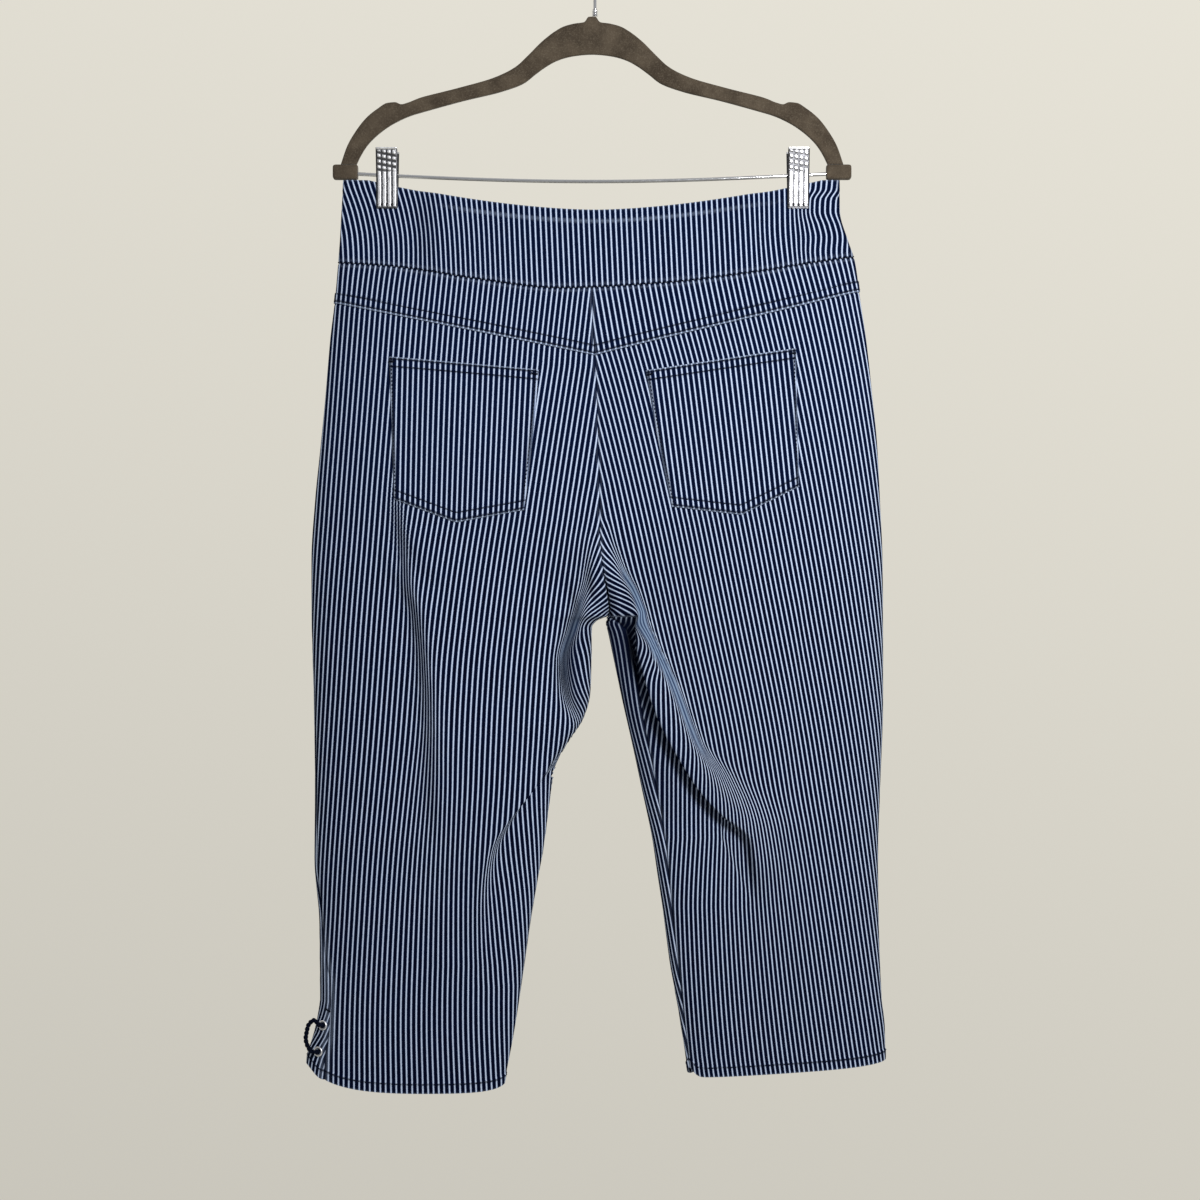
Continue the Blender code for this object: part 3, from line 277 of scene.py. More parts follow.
CAP_ROUNDING = ((0.0, 0.88), (0.06, 1.0), (0.88, 1.0), (0.97, 0.93), (1.0, 0.78))
BAR_RADIUS = 1.75
BAR_HALF = CAP_INNER - SEAM_GAP       # half the bar's length between the caps
BAR_END_Z, BAR_SAG = -222.7, 6.4
HOOK_WIRE = 1.65
HOOK_INNER = 19.0        # inside radius of the hook
HOOK_TIP, HOOK_SHOULDER = 205.0, -55.0   # degrees where the round part starts and ends
HOOK_BEND = 7.0          # half the height over which it bends into the shaft
HOOK_TIP_SIZES = (0.45, 0.8, 0.94, 0.99)   # its rounded tip
SHAFT_FOOT = -87.2
COLLAR_INNER, COLLAR_OUTER = 2.0, 2.7
COLLAR_TOP, COLLAR_BOTTOM = -81.7, -86.9
CRIMP_DEPTH, CRIMP_PITCH = 0.18, 1.3

# A jaw of a clip, from its teeth up to its grip: how far it stands from the middle plane.
JAW = table("z off",
    (-253.2, 2.25), (-238, 2.25), (-232, 2.9), (-223, 4.4), (-212, 6.2), (-202, 7.95))
JAW_SHEET = 1.0
JAW_RIBS, RIB_HEIGHT = 4, 0.7
SPRING_OUTER, SPRING_LENGTH = 3.5, 14.0
SPRING_TURNS, SPRING_WIRE = 9, 0.65

# Course of the main fold of each leg, which many of the back's columns run beside.
GUIDES = {
    "left": table("x z",
        (-6, -560), (-11, -588), (-23, -625), (-28, -648), (-27, -672), (-28, -700), (-36, -726),
        (-54, -752), (-74, -781), (-87, -806), (-100, -850), (-118, -990)),
    "right": table("x z",
        (34, -560), (35, -600), (37, -630), (43, -654), (51, -680), (61, -703), (73, -724),
        (86, -745), (105, -769), (128, -794), (137, -850), (142, -990)),
}
GUIDES_FROM, GUIDES_TO = -470.0, -555.0   # the columns swing over to the guide between these
PANEL_WIDTH = 235.0      # roughly, to turn a gap at a seam into a share of a panel's width


# ---------------------------------------------------------------- the garment's surface

def beside_fold(fold, x, z):
    """How far a point lies to the +X side of a fold's line, how much of the fold there is at
    its height, and the direction across the line (x and z)."""
    line = table("x z", *fold.line)
    lean = (read(line, "x", z + 2.0) - read(line, "x", z - 2.0)) / 4.0
    length = np.sqrt(1.0 + lean * lean)
    top, low = line["z"][0], line["z"][-1]
    alive = ramp(-z, -top, -top + fold.start) * ramp(z, low, low + FOLD_FADE)
    return (x - read(line, "x", z)) / length, alive, (1.0 / length, -lean / length)


def fold_height(face, x, z):
    """How far the folds lift the cloth away from the middle plane."""
    height = np.zeros_like(x)
    for fold in FOLDS[face]:
        gap, alive, _across = beside_fold(fold, x, z)
        step = 0.5 + 0.5 * np.tanh(gap / fold.soft)
        fading = np.exp(-np.abs(gap) / fold.reach)
        height += alive * fold.rise * fading * (step * fold.share - (1 - step) * (1 - fold.share))
        height += alive * fold.ridge * np.exp(-(gap / fold.soft) ** 2)
    return height


def tube_height(across, depth, flatness):
    """Height of a flattened tube over its middle plane; across is 0 and 1 at its edges."""
    return depth * np.sqrt(np.clip(1.0 - np.abs(2.0 * across - 1.0) ** flatness, 0.0, None))


def hip_point(side, face, across, z, inset):
    """x and height on the hip tube; across is 0 at this side's edge and 1 at the other."""
    near = read(HIPS, side, z) - OUTWARD[side] * inset
    far = read(HIPS, OTHER[side], z) + OUTWARD[side] * inset
    x = mix(near, far, across)
    height = tube_height(across, read(HIPS, face, z) - inset, HIP_FLATNESS)
    gripped = np.zeros_like(x)
    for clip_x in CLIP_X.values():
        gripped += ramp(-np.abs(x - clip_x), -GRIP_HALF - GRIP_FADE, -GRIP_HALF)
    gripped *= ramp(z, GRIP_BOTTOM, GRIP_TOP)
    held_together = CLOTH + GRIPPED_GAP / 2 - inset
    return x, mix(height, held_together, gripped)


def leg_point(side, around, z, inset):
    """x, height and side of a leg tube: around is 0 to 1 over the back, 1 to 2 over the front."""
    outer = read(HIPS, side, z) - OUTWARD[side] * inset
    inner = read(LEGS[side], "inner", z) + OUTWARD[side] * inset
    around = np.mod(around, 2.0)
    at_back = around <= 1.0
    across = np.where(at_back, around, 2.0 - around)
    depth = np.where(at_back, read(HIPS, "back", z), read(HIPS, "front", z)) - inset
    return mix(outer, inner, across), tube_height(across, depth, LEG_FLATNESS), at_back


def crowd(share):
    """Even steps become short ones near the two edges of a tube (share 0 and 1)."""
    whole = np.floor(share)
    t = share - whole
    return whole + (1 - EDGE_CROWDING) * t + EDGE_CROWDING * (1 - np.cos(math.pi * t)) / 2


def uncrowd(place):
    """The inverse of crowd."""
    steps = np.linspace(0.0, 1.0, 400)
    whole = np.floor(place)
    return whole + np.interp(place - whole, crowd(steps * 0.99999), steps)


def crowd_one_edge(share):
    """As crowd, for a panel with a rounded edge at 0 alone."""
    return (1 - EDGE_CROWDING) * share + EDGE_CROWDING * (1 - np.cos(math.pi * share / 2))


def across_half(side, face, u, z):
    """Place on the hip tube of a half panel's u, from the side edge to the centre seam."""
    edge = read(HIPS, side, z)
    far = read(HIPS, OTHER[side], z)
    centre = read(HIPS, "centre_" + face, z)
    return crowd_one_edge(u) * (centre - edge) / (far - edge)


def front_drop(face, x):
    """How much lower the front of the waist hangs than the back."""
    return FRONT_DROP * np.clip(1.0 - (x / SAG_HALF_SPAN) ** 2, 0.0, 1.0) * (face == "front")


def waist_seam(face, x):
    """Height of the seam under the waistband."""
    return read(WAIST_SEAM, "z", x, "x") - front_drop(face, x)


def waist_seam_at(side, face, u):
    """Height of that seam at a half panel's u."""
    z = np.full_like(u, WAIST_SEAM["z"].mean())
    for _ in range(3):
        x, _height = hip_point(side, face, across_half(side, face, u, z), z, 0.0)
        z = waist_seam(face, x)
    return z


def row_height(side, face, u, row):
    """Height of a leg panel's row at u, 0 at the side seam and 1 at the inner seam."""
    hip, leg = HIP_ROWS[side, face], LEG_ROWS[side]
    hip_z = mix(row, read(hip, "inner", row, "side"), u ** read(hip, "power", row, "side"))
    if face == "front":
        first, first_inner, first_power = (hip[c][0] for c in ("side", "inner", "power"))
        to_seam = waist_seam_at(side, face, u) - mix(first, first_inner, u ** first_power)
        hip_z = hip_z + to_seam * ramp(row, first - SEAM_BLEND, first)
    bow = (1.0 - np.abs(2.0 * u - 1.0) ** 3) * read(leg, "bow_" + face, row, "side")
    curl = (read(leg, "curl_side", row, "side") * np.exp(-(u / CURL_REACH) ** 2)
            + read(leg, "curl_inner", row, "side") * np.exp(-((1.0 - u) / CURL_REACH) ** 2))
    if face == "front":
        lift = read(leg, "lift_front", row, "side")
        curl = curl + lift * (1.0 - np.exp(-(u / LIFT_REACH) ** 2))
    leg_z = mix(row, read(leg, "inner", row, "side"), u) - bow + curl
    return np.where(row > CROTCH, hip_z, leg_z)


def cloth_y(face_sign, height, x, z, folded=True):
    """Distance from the middle plane with the folds, which die out at a tube's edges."""
    if folded:
        back = face_sign < 0
        folds = np.where(back, fold_height("back", x, z), fold_height("front", x, z))
        height = height + folds * ramp(height, 0.0, EDGE_FADE)
    return face_sign * np.maximum(height, SEAM_GAP / 2)


def panel_point(side, face, u, row, inset, folded=True):
    """A point of a leg panel, in millimetres, with or without the folds."""
    z = row_height(side, face, u, row)
    hip_x, hip_height = hip_point(side, face, across_half(side, face, u, z), z, inset)
    hip_y = cloth_y(FACING[face], hip_height, hip_x, z, folded)

    legs = LEGS[side]
    width = np.abs(read(legs, "inner", z) - read(HIPS, side, z))
    seam = read(legs, "side_seam", z)
    if face == "front":
        seam = seam - read(legs, "vent", z)
    start = uncrowd(seam / width)
    end = uncrowd(1.0 - read(legs, "inseam", z) / width)
    if face == "front":
        start = start + 2.0
    around = crowd(mix(start, end, u))
    leg_x, leg_height, at_back = leg_point(side, around, z, inset)
    leg_y = cloth_y(np.where(at_back, -1.0, 1.0), leg_height, leg_x, z, folded)

    towards_crotch = np.clip((LEG_STARTS - row) / (LEG_STARTS - CROTCH), 0.0, 1.0)
    turned = ramp(towards_crotch ** LEG_LATENESS, 0.0, 1.0)
    backset = CROTCH_BACKSET * u ** 4 * turned * ramp(z, *BACKSET_FADE)
    return np.stack([mix(hip_x, leg_x, turned), mix(hip_y, leg_y, turned) + backset, z], axis=-1)


def waist_top(face, x):
    """Height of the waistband's free edge, which sags between the clips."""
    sag = WAIST_SAG * (1.0 - np.clip(np.abs(x) / SAG_HALF_SPAN, 0.0, 1.0) ** SAG_POWER)
    return WAIST_TOP - sag - front_drop(face, x)


def band_point(face, u, v, inset):
    """A point of the waistband: u from the left edge to the right one, v from the top down."""
    across = crowd(u * 0.99999)
    z = waist_top(face, mix(HIPS["left"][0], HIPS["right"][0], across))
    for _ in range(3):
        x, height = hip_point("left", face, across, z, inset)
        z = mix(waist_top(face, x), waist_seam(face, x) + SEAM_GAP / 2, v)
    return np.stack([x, cloth_y(FACING[face], height, x, z), z], axis=-1)


def yoke_point(side, u, v, inset):
    """A point of a back yoke: u from the side edge to the centre back, v from the top down."""
    top = waist_seam_at(side, "back", u) - SEAM_GAP / 2
    low = row_height(side, "back", u, HIP_ROWS[side, "back"]["side"][0]) + SEAM_GAP / 2
    z = mix(top, low, v)
    x, height = hip_point(side, "back", across_half(side, "back", u, z), z, inset)
    return np.stack([x, cloth_y(-1.0, height, x, z), z], axis=-1)


def surface_at(side, face, x, z):
    """Point and outward normal of a leg panel at x and z, found by Newton's steps."""
    u = np.full_like(x, 0.5)
    row = np.array(z, dtype=float)
    d_u, d_row = 1e-3, 0.1
    for _ in range(12):
        here = panel_point(side, face, u, row, 0.0)
        along = (panel_point(side, face, u + d_u, row, 0.0) - here) / d_u
        down = (panel_point(side, face, u, row + d_row, 0.0) - here) / d_row
        miss_x, miss_z = x - here[..., 0], z - here[..., 2]
        det = along[..., 0] * down[..., 2] - along[..., 2] * down[..., 0]
        u = np.clip(u + (miss_x * down[..., 2] - miss_z * down[..., 0]) / det, 0.02, 0.98)
        row = row + (along[..., 0] * miss_z - along[..., 2] * miss_x) / det
    normal = unit(np.cross(along, down))
    return here, normal * np.sign(normal[..., 1:2]) * FACING[face]


# Corners of the two patch pockets, from their upper outer corner round to the point.
Pocket = namedtuple("Pocket", "outer_top inner_top inner_low point outer_low bow")
POCKETS = {
    "left": Pocket((-174.9, -382.0), (-48.4, -393.5), (-60.4, -513.0), (-117.6, -523.5),
                   (-170.2, -503.8), 1.0),
    "right": Pocket((170.8, -375.0), (43.6, -394.2), (65.6, -510.1), (124.2, -517.0),
                    (173.0, -493.0), 1.0),
}


def pocket_outline(side, p, q):
    """x and z of a pocket: p from the outer side to the inner one, q from the top down."""
    pocket = POCKETS[side]
    sides_bow = pocket.bow * 4.0 * q * (1.0 - q)
    outer_x = mix(pocket.outer_top[0], pocket.outer_low[0], q)
    inner_x = mix(pocket.inner_top[0], pocket.inner_low[0], q)
    x = mix(outer_x, inner_x - OUTWARD[side] * sides_bow, p)
    top = mix(pocket.outer_top[1], pocket.inner_top[1], p)
    low_width = pocket.inner_low[0] - pocket.outer_low[0]
    point_share = (pocket.point[0] - pocket.outer_low[0]) / low_width
    low = np.interp(p, (0.0, point_share, 1.0),
                    (pocket.outer_low[1], pocket.point[1], pocket.inner_low[1]))
    return x, mix(top, low, q)


# Eyelets stand beside the vent in the side seam, and a lace joins an upper to a lower one.
EYELET_HOLE = 2.4
EYELET_RIM = 4.3
EYELET_THICKNESS = 1.0
EYELET_HEIGHTS = {"upper": -953.4, "lower": -976.2}
EYELET_INSET = 6.0       # from the panel's edge to an eyelet's middle
# u of the points over which that distance is measured
BESIDE_VENT = np.array([0.0, 0.005, 0.01, 0.015, 0.02, 0.03, 0.04, 0.05, 0.06, 0.08, 0.1])
EYELET_LIFT = 0.6
LACE_STATIONS = 120
LACE_TWIST = 7.0         # length of one turn of the lace's two strands
STRAND_OFFSET, STRAND_RADIUS = 0.85, 1.2

# The lace's course: how far down it is as a share of the way between the eyelets, how far it
# stands off the cloth and how far it swings out sideways.
LACE_COURSE = table("step share off swing",
    (0, 0, 1, 0), (1, -0.02, 4.2, 0.6), (2, -0.22, 5.4, 5.8), (3, 0.04, 5, 10.3),
    (4, 0.41, 5, 10.5), (5, 0.78, 5, 7.4), (6, 0.96, 5.2, 3.4), (7, 1, 4.2, 0.6), (8, 1, 1, 0))


def vent_places(side):
    """Each eyelet beside a leg's vent: its point on the front panel and the outward normal."""
    places = {}
    for name, height in EYELET_HEIGHTS.items():
        line = panel_point(side, "front", BESIDE_VENT, np.full_like(BESIDE_VENT, height), 0.0)
        place = np.interp(EYELET_INSET, run_along(line), BESIDE_VENT)
        around = np.array([place, place - 0.01, place, place])
        rows = height + np.array([0.0, 0.0, -2.0, 0.0])
        inset = (0.0, 0.0, 0.0, CLOTH)
        here, edgeward, below, within = (
            panel_point(side, "front", around[k:k + 1], rows[k:k + 1], inset[k])[0] for k in range(4))
        normal = np.cross(edgeward - here, below - here)
        normal *= np.sign(normal @ (here - within)) / np.linalg.norm(normal)
        places[name] = (here, normal)
    return places


def lace_route(side, places, stations):
    """Points along the lace that comes out of the upper eyelet and goes into the lower one."""
    (upper, upper_out), (lower, lower_out) = places["upper"], places["lower"]
    step = np.linspace(0.0, LACE_COURSE["step"][-1], stations)
    share, off, swing = (read(LACE_COURSE, column, step, "step")[:, None]
                         for column in ("share", "off", "swing"))
    sideways = np.array([OUTWARD[side], 0.0, 0.0])
    outward = mix(upper_out, lower_out, np.clip(share, 0.0, 1.0))
    return mix(upper, lower, share) + outward * off + sideways * swing


# ---------------------------------------------------------------- meshes

def put(name, data, place=(0.0, 0.0, 0.0)):
    """A new object in the scene."""
    made = bpy.data.objects.new(name, data)
    made.location = place
    bpy.context.collection.objects.link(made)
    return made


def finished_mesh(name, mesh, finish):
    """An object of this mesh, its faces turned outwards, that rides on the part's one body."""
    shape = bmesh.new()
    shape.from_mesh(mesh)
    bmesh.ops.recalc_face_normals(shape, faces=shape.faces)
    shape.to_mesh(mesh)
    shape.free()
    mesh.shade_smooth()
    mesh.set_sharp_from_angle(angle=SMOOTH_ANGLE)
    mesh.materials.append(finish)
    made = put(name, mesh)
    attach(made, "root")
    return made


def joined(name, parts, finish):
    """One object of several lists of points, in millimetres, and faces."""
    points, faces, base = [], [], 0
    for more_points, more_faces in parts:
        points.append(np.asarray(more_points, dtype=float).reshape(-1, 3))
        faces.extend(tuple(base + i for i in face) for face in more_faces)
        base += len(points[-1])
    mesh = bpy.data.meshes.new(name)
    mesh.from_pydata(np.concatenate(points) * MM, [], faces)
    return finished_mesh(name, mesh, finish)


def stand_in(node, look, parts, finish):
    """As joined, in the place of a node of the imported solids."""
    made = joined(f"{node}_{look}", parts, finish)
    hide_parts(node)
    return made


def shell_faces(rows, columns):
    """Faces of a closed shell between two grids of points, the second listed after the first."""
    count = rows * columns
    index = np.arange(count).reshape(rows, columns)
    skin = np.stack([index[:-1, :-1], index[:-1, 1:], index[1:, 1:], index[1:, :-1]], axis=-1)
    skin = skin.reshape(-1, 4)
    rim = np.concatenate([index[0, :-1], index[:-1, -1], index[-1, :0:-1], index[:0:-1, 0]])
    following = np.roll(rim, -1)
    sides = np.stack([following, rim, rim + count, following + count], axis=-1)
    return np.concatenate([skin, skin[:, ::-1] + count, sides]).tolist()


def full_turn(count):
    return np.arange(count) * 2 * math.pi / count


def lofted(rings):
    """Points and faces of a body through rings of as many points each, closed at its ends."""
    sides, last = len(rings[0]), len(rings) - 1
    faces = [(level * sides + k, level * sides + (k + 1) % sides,
              (level + 1) * sides + (k + 1) % sides, (level + 1) * sides + k)
             for level in range(last) for k in range(sides)]
    faces += [tuple(range(sides)), tuple(range(last * sides, (last + 1) * sides))]
    return np.concatenate(rings), faces


def tube_parts(route, radius, sides):
    """Points and faces of a round tube along a route; radius may vary along it."""
    route = np.asarray(route, dtype=float)
    radius = np.broadcast_to(radius, len(route))
    along = unit(np.gradient(route, axis=0))
    spoke = np.array(Vector(along[0]).orthogonal().normalized())
    cos, sin = np.cos(full_turn(sides))[:, None], np.sin(full_turn(sides))[:, None]
    rings = []
    for place, heading, size in zip(route, along, radius):
        spoke = unit(spoke - heading * (spoke @ heading))
        rings.append(place + size * (cos * spoke + sin * np.cross(heading, spoke)))
    return lofted(rings)


def lathed(centre, axis, profile, sides):
    """Points and faces of a closed profile of (radius, height) turned round an axis."""
    axis = Vector(axis).normalized()
    first = axis.orthogonal().normalized()
    second = axis.cross(first)
    points = []
    for k in range(sides):
        turn = 2 * math.pi * k / sides
        spoke = first * math.cos(turn) + second * math.sin(turn)
        points += [Vector(centre) + spoke * radius + axis * height for radius, height in profile]
    n = len(profile)
    faces = [(k * n + j, k * n + (j + 1) % n, (k + 1) % sides * n + (j + 1) % n, (k + 1) % sides * n + j)
             for k in range(sides) for j in range(n)]
    return np.array([tuple(p) for p in points]), faces


# ---------------------------------------------------------------- grids of cloth

def line_mark(distance, place, width):
    """1 along a line at this distance from an edge, fading out over a width."""
    return np.exp(-((distance - place) / width) ** 2)


def marks(*lines):
    """The sum of several such lines, each a strength and what line_mark takes."""
    return sum(strength * line_mark(*line) for strength, *line in lines)


# A grid holds the points of a piece's outer skin and, for each point, the distance along the
# cloth to the piece's four edges: start and end of a row, top and bottom of a column.
Grid = namedtuple("Grid", "points start end top bottom")


def measured(points):
    """The grid of these points, in millimetres."""
    start, top = run_along(points, axis=1), run_along(points, axis=0)
    return Grid(points, start, start[:, -1:] - start, top, top[-1:] - top)


def normals_of(points, face):
    """Unit normals of a grid of points, turned to the side that this face looks to."""
    normal = unit(np.cross(np.gradient(points, axis=1), np.gradient(points, axis=0)))
    middle_y = normal[len(normal) // 3, normal.shape[1] // 3, 1]
    return normal if middle_y * FACING[face] > 0 else -normal


def raised(points, face, height):
    """The points moved out of the cloth by a height."""
    return points + normals_of(points, face) * height[..., None]


def groove(distance, depth, width):
    """Depth of the dip where a piece is sewn to its neighbour."""
    return -depth * np.exp(-(distance / width) ** 2)


def lapped(distance, height, width):
    """Height of a turned or lapped edge: a low step, up to width from the edge."""
    return height * (1.0 - ramp(distance, width, width + 1.5))


def line_at(grid, face, distance, value, axis=0):
    """Points and normals of the line on a grid where distance has this value, found down
    its columns (axis 0) or along its rows (axis 1)."""
    both = np.concatenate([grid.points, normals_of(grid.points, face)], axis=2)
    both, distance = np.moveaxis(both, axis, 0), np.moveaxis(distance, axis, 0)
    if distance[0, 0] > distance[-1, 0]:
        both, distance = both[::-1], distance[::-1]
    line = np.array([[np.interp(value, distance[:, k], both[:, k, part]) for part in range(6)]
                     for k in range(distance.shape[1])])
    return line[:, :3], line[:, 3:]


def crowding(points, stripes):
    """Millimetres of striped cloth drawn together into each millimetre of a grid's rows."""
    steps = np.linalg.norm(np.gradient(points, axis=1), axis=2)
    return np.abs(np.gradient(stripes, axis=1)) / np.maximum(steps, 1e-6)


def widened(points):
    """A grid of points that reaches a little under its neighbours at both ends of its rows."""
    wide = points.copy()
    for edge, beside in ((0, 1), (-1, -2)):
        wide[:, edge] += UNDERLAP * unit(points[:, edge] - points[:, beside])
    return wide


def cloth_piece(node, face, points, stripes, finish, wear, fade, dark, thickness=CLOTH):
    """A thin closed shell of cloth; stripes is each point's place across them, in millimetres."""
    rows, columns = points.shape[:2]
    inner = widened(points - normals_of(points, face) * thickness)
    mesh = bpy.data.meshes.new(f"{node}_cloth")
    mesh.from_pydata(np.concatenate([points.reshape(-1, 3), inner.reshape(-1, 3)]) * MM, [],
                     shell_faces(rows, columns))
    made = finished_mesh(f"{node}_cloth", mesh, finish)
    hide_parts(node)
    gathered = ramp(crowding(points, stripes), *GATHERED)
    # wear, fade and gathered are the cloth's own colour; dark is painted shade
    for label, values in (("wear", wear), ("fade", fade), ("dark", dark), ("gathered", gathered)):
        layer = mesh.attributes.new(label, "FLOAT", "POINT")
        values = np.tile(np.broadcast_to(values, (rows, columns)).reshape(-1), 2)
        layer.data.foreach_set("value", values.astype(np.float32))
    uv = np.stack([stripes.reshape(-1), -measured(points).top.reshape(-1)], axis=-1) / PITCH
    corner = np.empty(len(mesh.loops), dtype=np.int32)
    mesh.loops.foreach_get("vertex_index", corner)
    layer = mesh.uv_layers.new(name="cloth")
    layer.data.foreach_set("uv", np.tile(uv, (2, 1))[corner].astype(np.float32).reshape(-1))
    return made


# ---------------------------------------------------------------- where the stripes run

PITCH = 4.6              # from one white stripe to the next
GATHERED = (3.0, 5.5)    # cloth drawn together this much starts and ends to lose its stripes

# Where the stripes run on a leg panel, by height. Seen from the back they are upright where
# both columns stay the same: out moves all of them away from the middle of the garment, and
# lean moves them inwards by this times their share of the panel's width.
LEANS = {
    ("left", "back"): table("z out lean",
        (-325, 0, 0), (-500, 13, 1), (-603, 21, 2), (-700, 28, 4), (-850, 39, 15), (-950, 45, 10),
        (-1010, 46, 4)),
    ("right", "back"): table("z out lean",
        (-325, 0, 0), (-400, 15, 8), (-500, 33, 17), (-603, 51, 26), (-720, 73, 36), (-850, 97, 34),
        (-1010, 126, 30)),
    ("left", "front"): table("z out lean",
        (-295, 0, 0), (-603, 0, 0), (-713, 0, 25), (-850, 0, 49), (-1010, 0, 75)),
}
LEANS["right", "front"] = LEANS["left", "front"]

# Cloth gathered at a line: beyond it, towards the inner seam, the stripes have moved on by
# gather, over a width of soft, and are wider apart there by spread, where that is given.
GATHERS = {
    "left": (
        table("z x gather soft",
            (-390, -166, 0, 4), (-503, -168.8, 8, 3.6), (-520, -166.6, 9, 4),
            (-540, -164, 10.5, 4.4), (-572, -159.2, 12.5, 5), (-606, -151.5, 14, 5.2),
            (-644, -145, 15, 5.6), (-675, -141.5, 14.5, 6.5), (-709, -140, 13, 8.5),
            (-760, -140, 9, 16), (-900, -136, 0, 30)),
        table("z x gather soft spread",
            (-530, 1, 0, 6, 0), (-545, -2, 3, 5, 0), (-570, -6, 13, 4.5, 0.2),
            (-590, -12, 29, 4.5, 0.3), (-612, -18, 48, 4.5, 0.3), (-640, -27, 40, 4.5, 0.2),
            (-668, -25, 27, 4.5, 0), (-695, -14, 8, 4.5, 0), (-712, -4, 0, 5, 0)),
        table("z x gather soft",
            (-676, 0, 24, 1.2), (-710, -20, 24, 1.2), (-750, -52, 22, 1.2), (-804, -86, 14, 3),
            (-845, -94, 7, 6), (-920, -100, 0, 9)),
    ),
    "right": (
        table("z x gather soft spread",
            (-520, 13, 0, 3, 0), (-545, 19, 8, 3, 0.1), (-563, 24.5, 22, 3, 0.35),
            (-580, 33, 41, 2.8, 0.6), (-604, 41, 65, 2.8, 0.8), (-616, 45, 73, 2.6, 0),
            (-660, 66, 50, 3, 0), (-712, 88, 39, 3.8, 0), (-740, 108, 33, 11, 0),
            (-780, 132, 26, 26, 0), (-850, 146, 13, 38, 0), (-950, 150, 2, 46, 0),
            (-980, 150, 0, 46, 0)),
        table("z x gather soft",
            (-604, 35, 48, 1.2), (-640, 39, 32, 1.2), (-690, 56, 10, 1.2), (-750, 89, 5, 1.2),
            (-850, 136, 0, 1.2)),
    ),
}


# Hollows at the back of the legs where little light falls: their course, half width and how
# dark they are, by height.
SHADES = {
    "left": (
        table("z x width dark",
            (-503, -168.8, 2, 0), (-512, -168.2, 3, 0.6), (-540, -164.6, 3.6, 0.6),
            (-572, -159.8, 4, 0.6), (-606, -152.1, 4.4, 0.6), (-644, -145.6, 5, 0.5),
            (-690, -141, 5, 0.3), (-740, -141, 6, 0.15), (-800, -139, 6, 0)),
        table("z x width dark",
            (-560, -3, 5, 0), (-585, -10, 5, 0.35), (-615, -19, 7, 0.6), (-648, -23, 8, 0.75),
            (-668, -20, 7, 0.5), (-690, -12, 5, 0)),
    ),
    "right": (
        table("z x width dark",
            (-602, 22, 14, 0), (-612, 22, 14, 0.5), (-645, 26, 13, 0.5), (-675, 32, 12, 0.4),
            (-713, 45, 13, 0.3), (-753, 58, 16, 0.15), (-793, 70, 16, 0)),
        table("z x width dark",
            (-602, 28, 6, 0), (-611, 28.5, 6, 0.65), (-637, 31.5, 5.5, 0.5), (-660, 39.5, 5, 0.35),
            (-690, 51.5, 4.5, 0.3), (-715, 65, 4, 0.25), (-745, 82.5, 4.5, 0.2), (-780, 106, 5, 0)),
        table("z x width dark",
            (-600, 10, 3.5, 0.4), (-645, 17, 3.5, 0.55), (-713, 32.5, 3.5, 0.5),
            (-793, 49, 3.5, 0.35), (-900, 64.5, 3.5, 0.2), (-990, 79, 3.5, 0.1)),
    ),
}


def hollow_shade(side, points):
    """How dark a leg's cloth is in the hollows at its back."""
    x, y, z = np.moveaxis(points, -1, 0)
    shade = np.zeros_like(x)
    for line in SHADES[side]:
        hollow = line_mark(x, read(line, "x", z), read(line, "width", z))
        shade += read(line, "dark", z) * hollow * (z < line["z"][0])
    return shade * ramp(-y, -6.0, 0.0)


# In the hollow beside the overlap of the right leg the stripes come down from the right and
# are upright further down: this is how far to the right of its foot a stripe is at a height.
HOLLOW_SLANT = table("z right",
    (-610, 44), (-640, 25), (-670, 11), (-700, 3), (-740, 0), (-793, 0))
# The edge of that overlap.
LIP = table("z x",
    (-598, 34), (-630, 36), (-654, 42), (-680, 50), (-703, 60), (-724, 72), (-745, 85), (-769, 104),
    (-793, 128))


def level_run(points, middle):
    """Distance round the cloth along level lines, inwards; at x = middle it is the distance
    from the plane x = 0."""
    run = run_along(points[..., :2], axis=1)
    inward = np.sign(points[0, -1, 0] - points[0, 0, 0])
    near = np.argmin(np.abs(points[..., 0] - middle), axis=1)[:, None]
    beside = np.take_along_axis(points[..., 0], near, axis=1)
    return run - np.take_along_axis(run, near, axis=1) + inward * beside


def leg_stripes(side, face, plain, drawn):
    """Place of each point of a leg panel across the stripes, in millimetres. plain holds the
    points as they would lie without folds, and drawn how far each is drawn over an overlap."""
    x, z = plain[..., 0], plain[..., 2]
    lean = LEANS[side, face]
    place = level_run(plain, OUTWARD[side] * PANEL_WIDTH / 2)
    share = 1.0 + place / PANEL_WIDTH
    place = place + read(lean, "out", z) + read(lean, "lean", z) * share
    inward = -OUTWARD[side]
    farthest_in = np.maximum.accumulate(inward * x, axis=1)
    for line in GATHERS[side] if face == "back" else ():
        past = farthest_in - inward * read(line, "x", z)
        beyond = 0.5 + 0.5 * np.tanh(past / read(line, "soft", z))
        alive = (z < line["z"][0]) & (z > line["z"][-1])
        place = place + alive * read(line, "gather", z) * beyond
        if "spread" in line:
            place = place - alive * read(line, "spread", z) * np.maximum(past, 0.0)
    if (side, face) == ("right", "back"):
        foot = np.argmin(np.abs(z.mean(axis=1) - LIP["z"][-1]))
        upright = x - read(HOLLOW_SLANT, "right", z)
        from_foot = np.interp(upright, x[foot, ::-1], place[foot, ::-1])
        from_foot = from_foot + np.maximum(x[foot, -1] - upright, 0.0)
        hollow = (z < CROTCH) & (x < read(LIP, "x", z)) & (z > z[foot].mean())
        place = np.where(hollow, from_foot, place)
    return place + inward * drawn


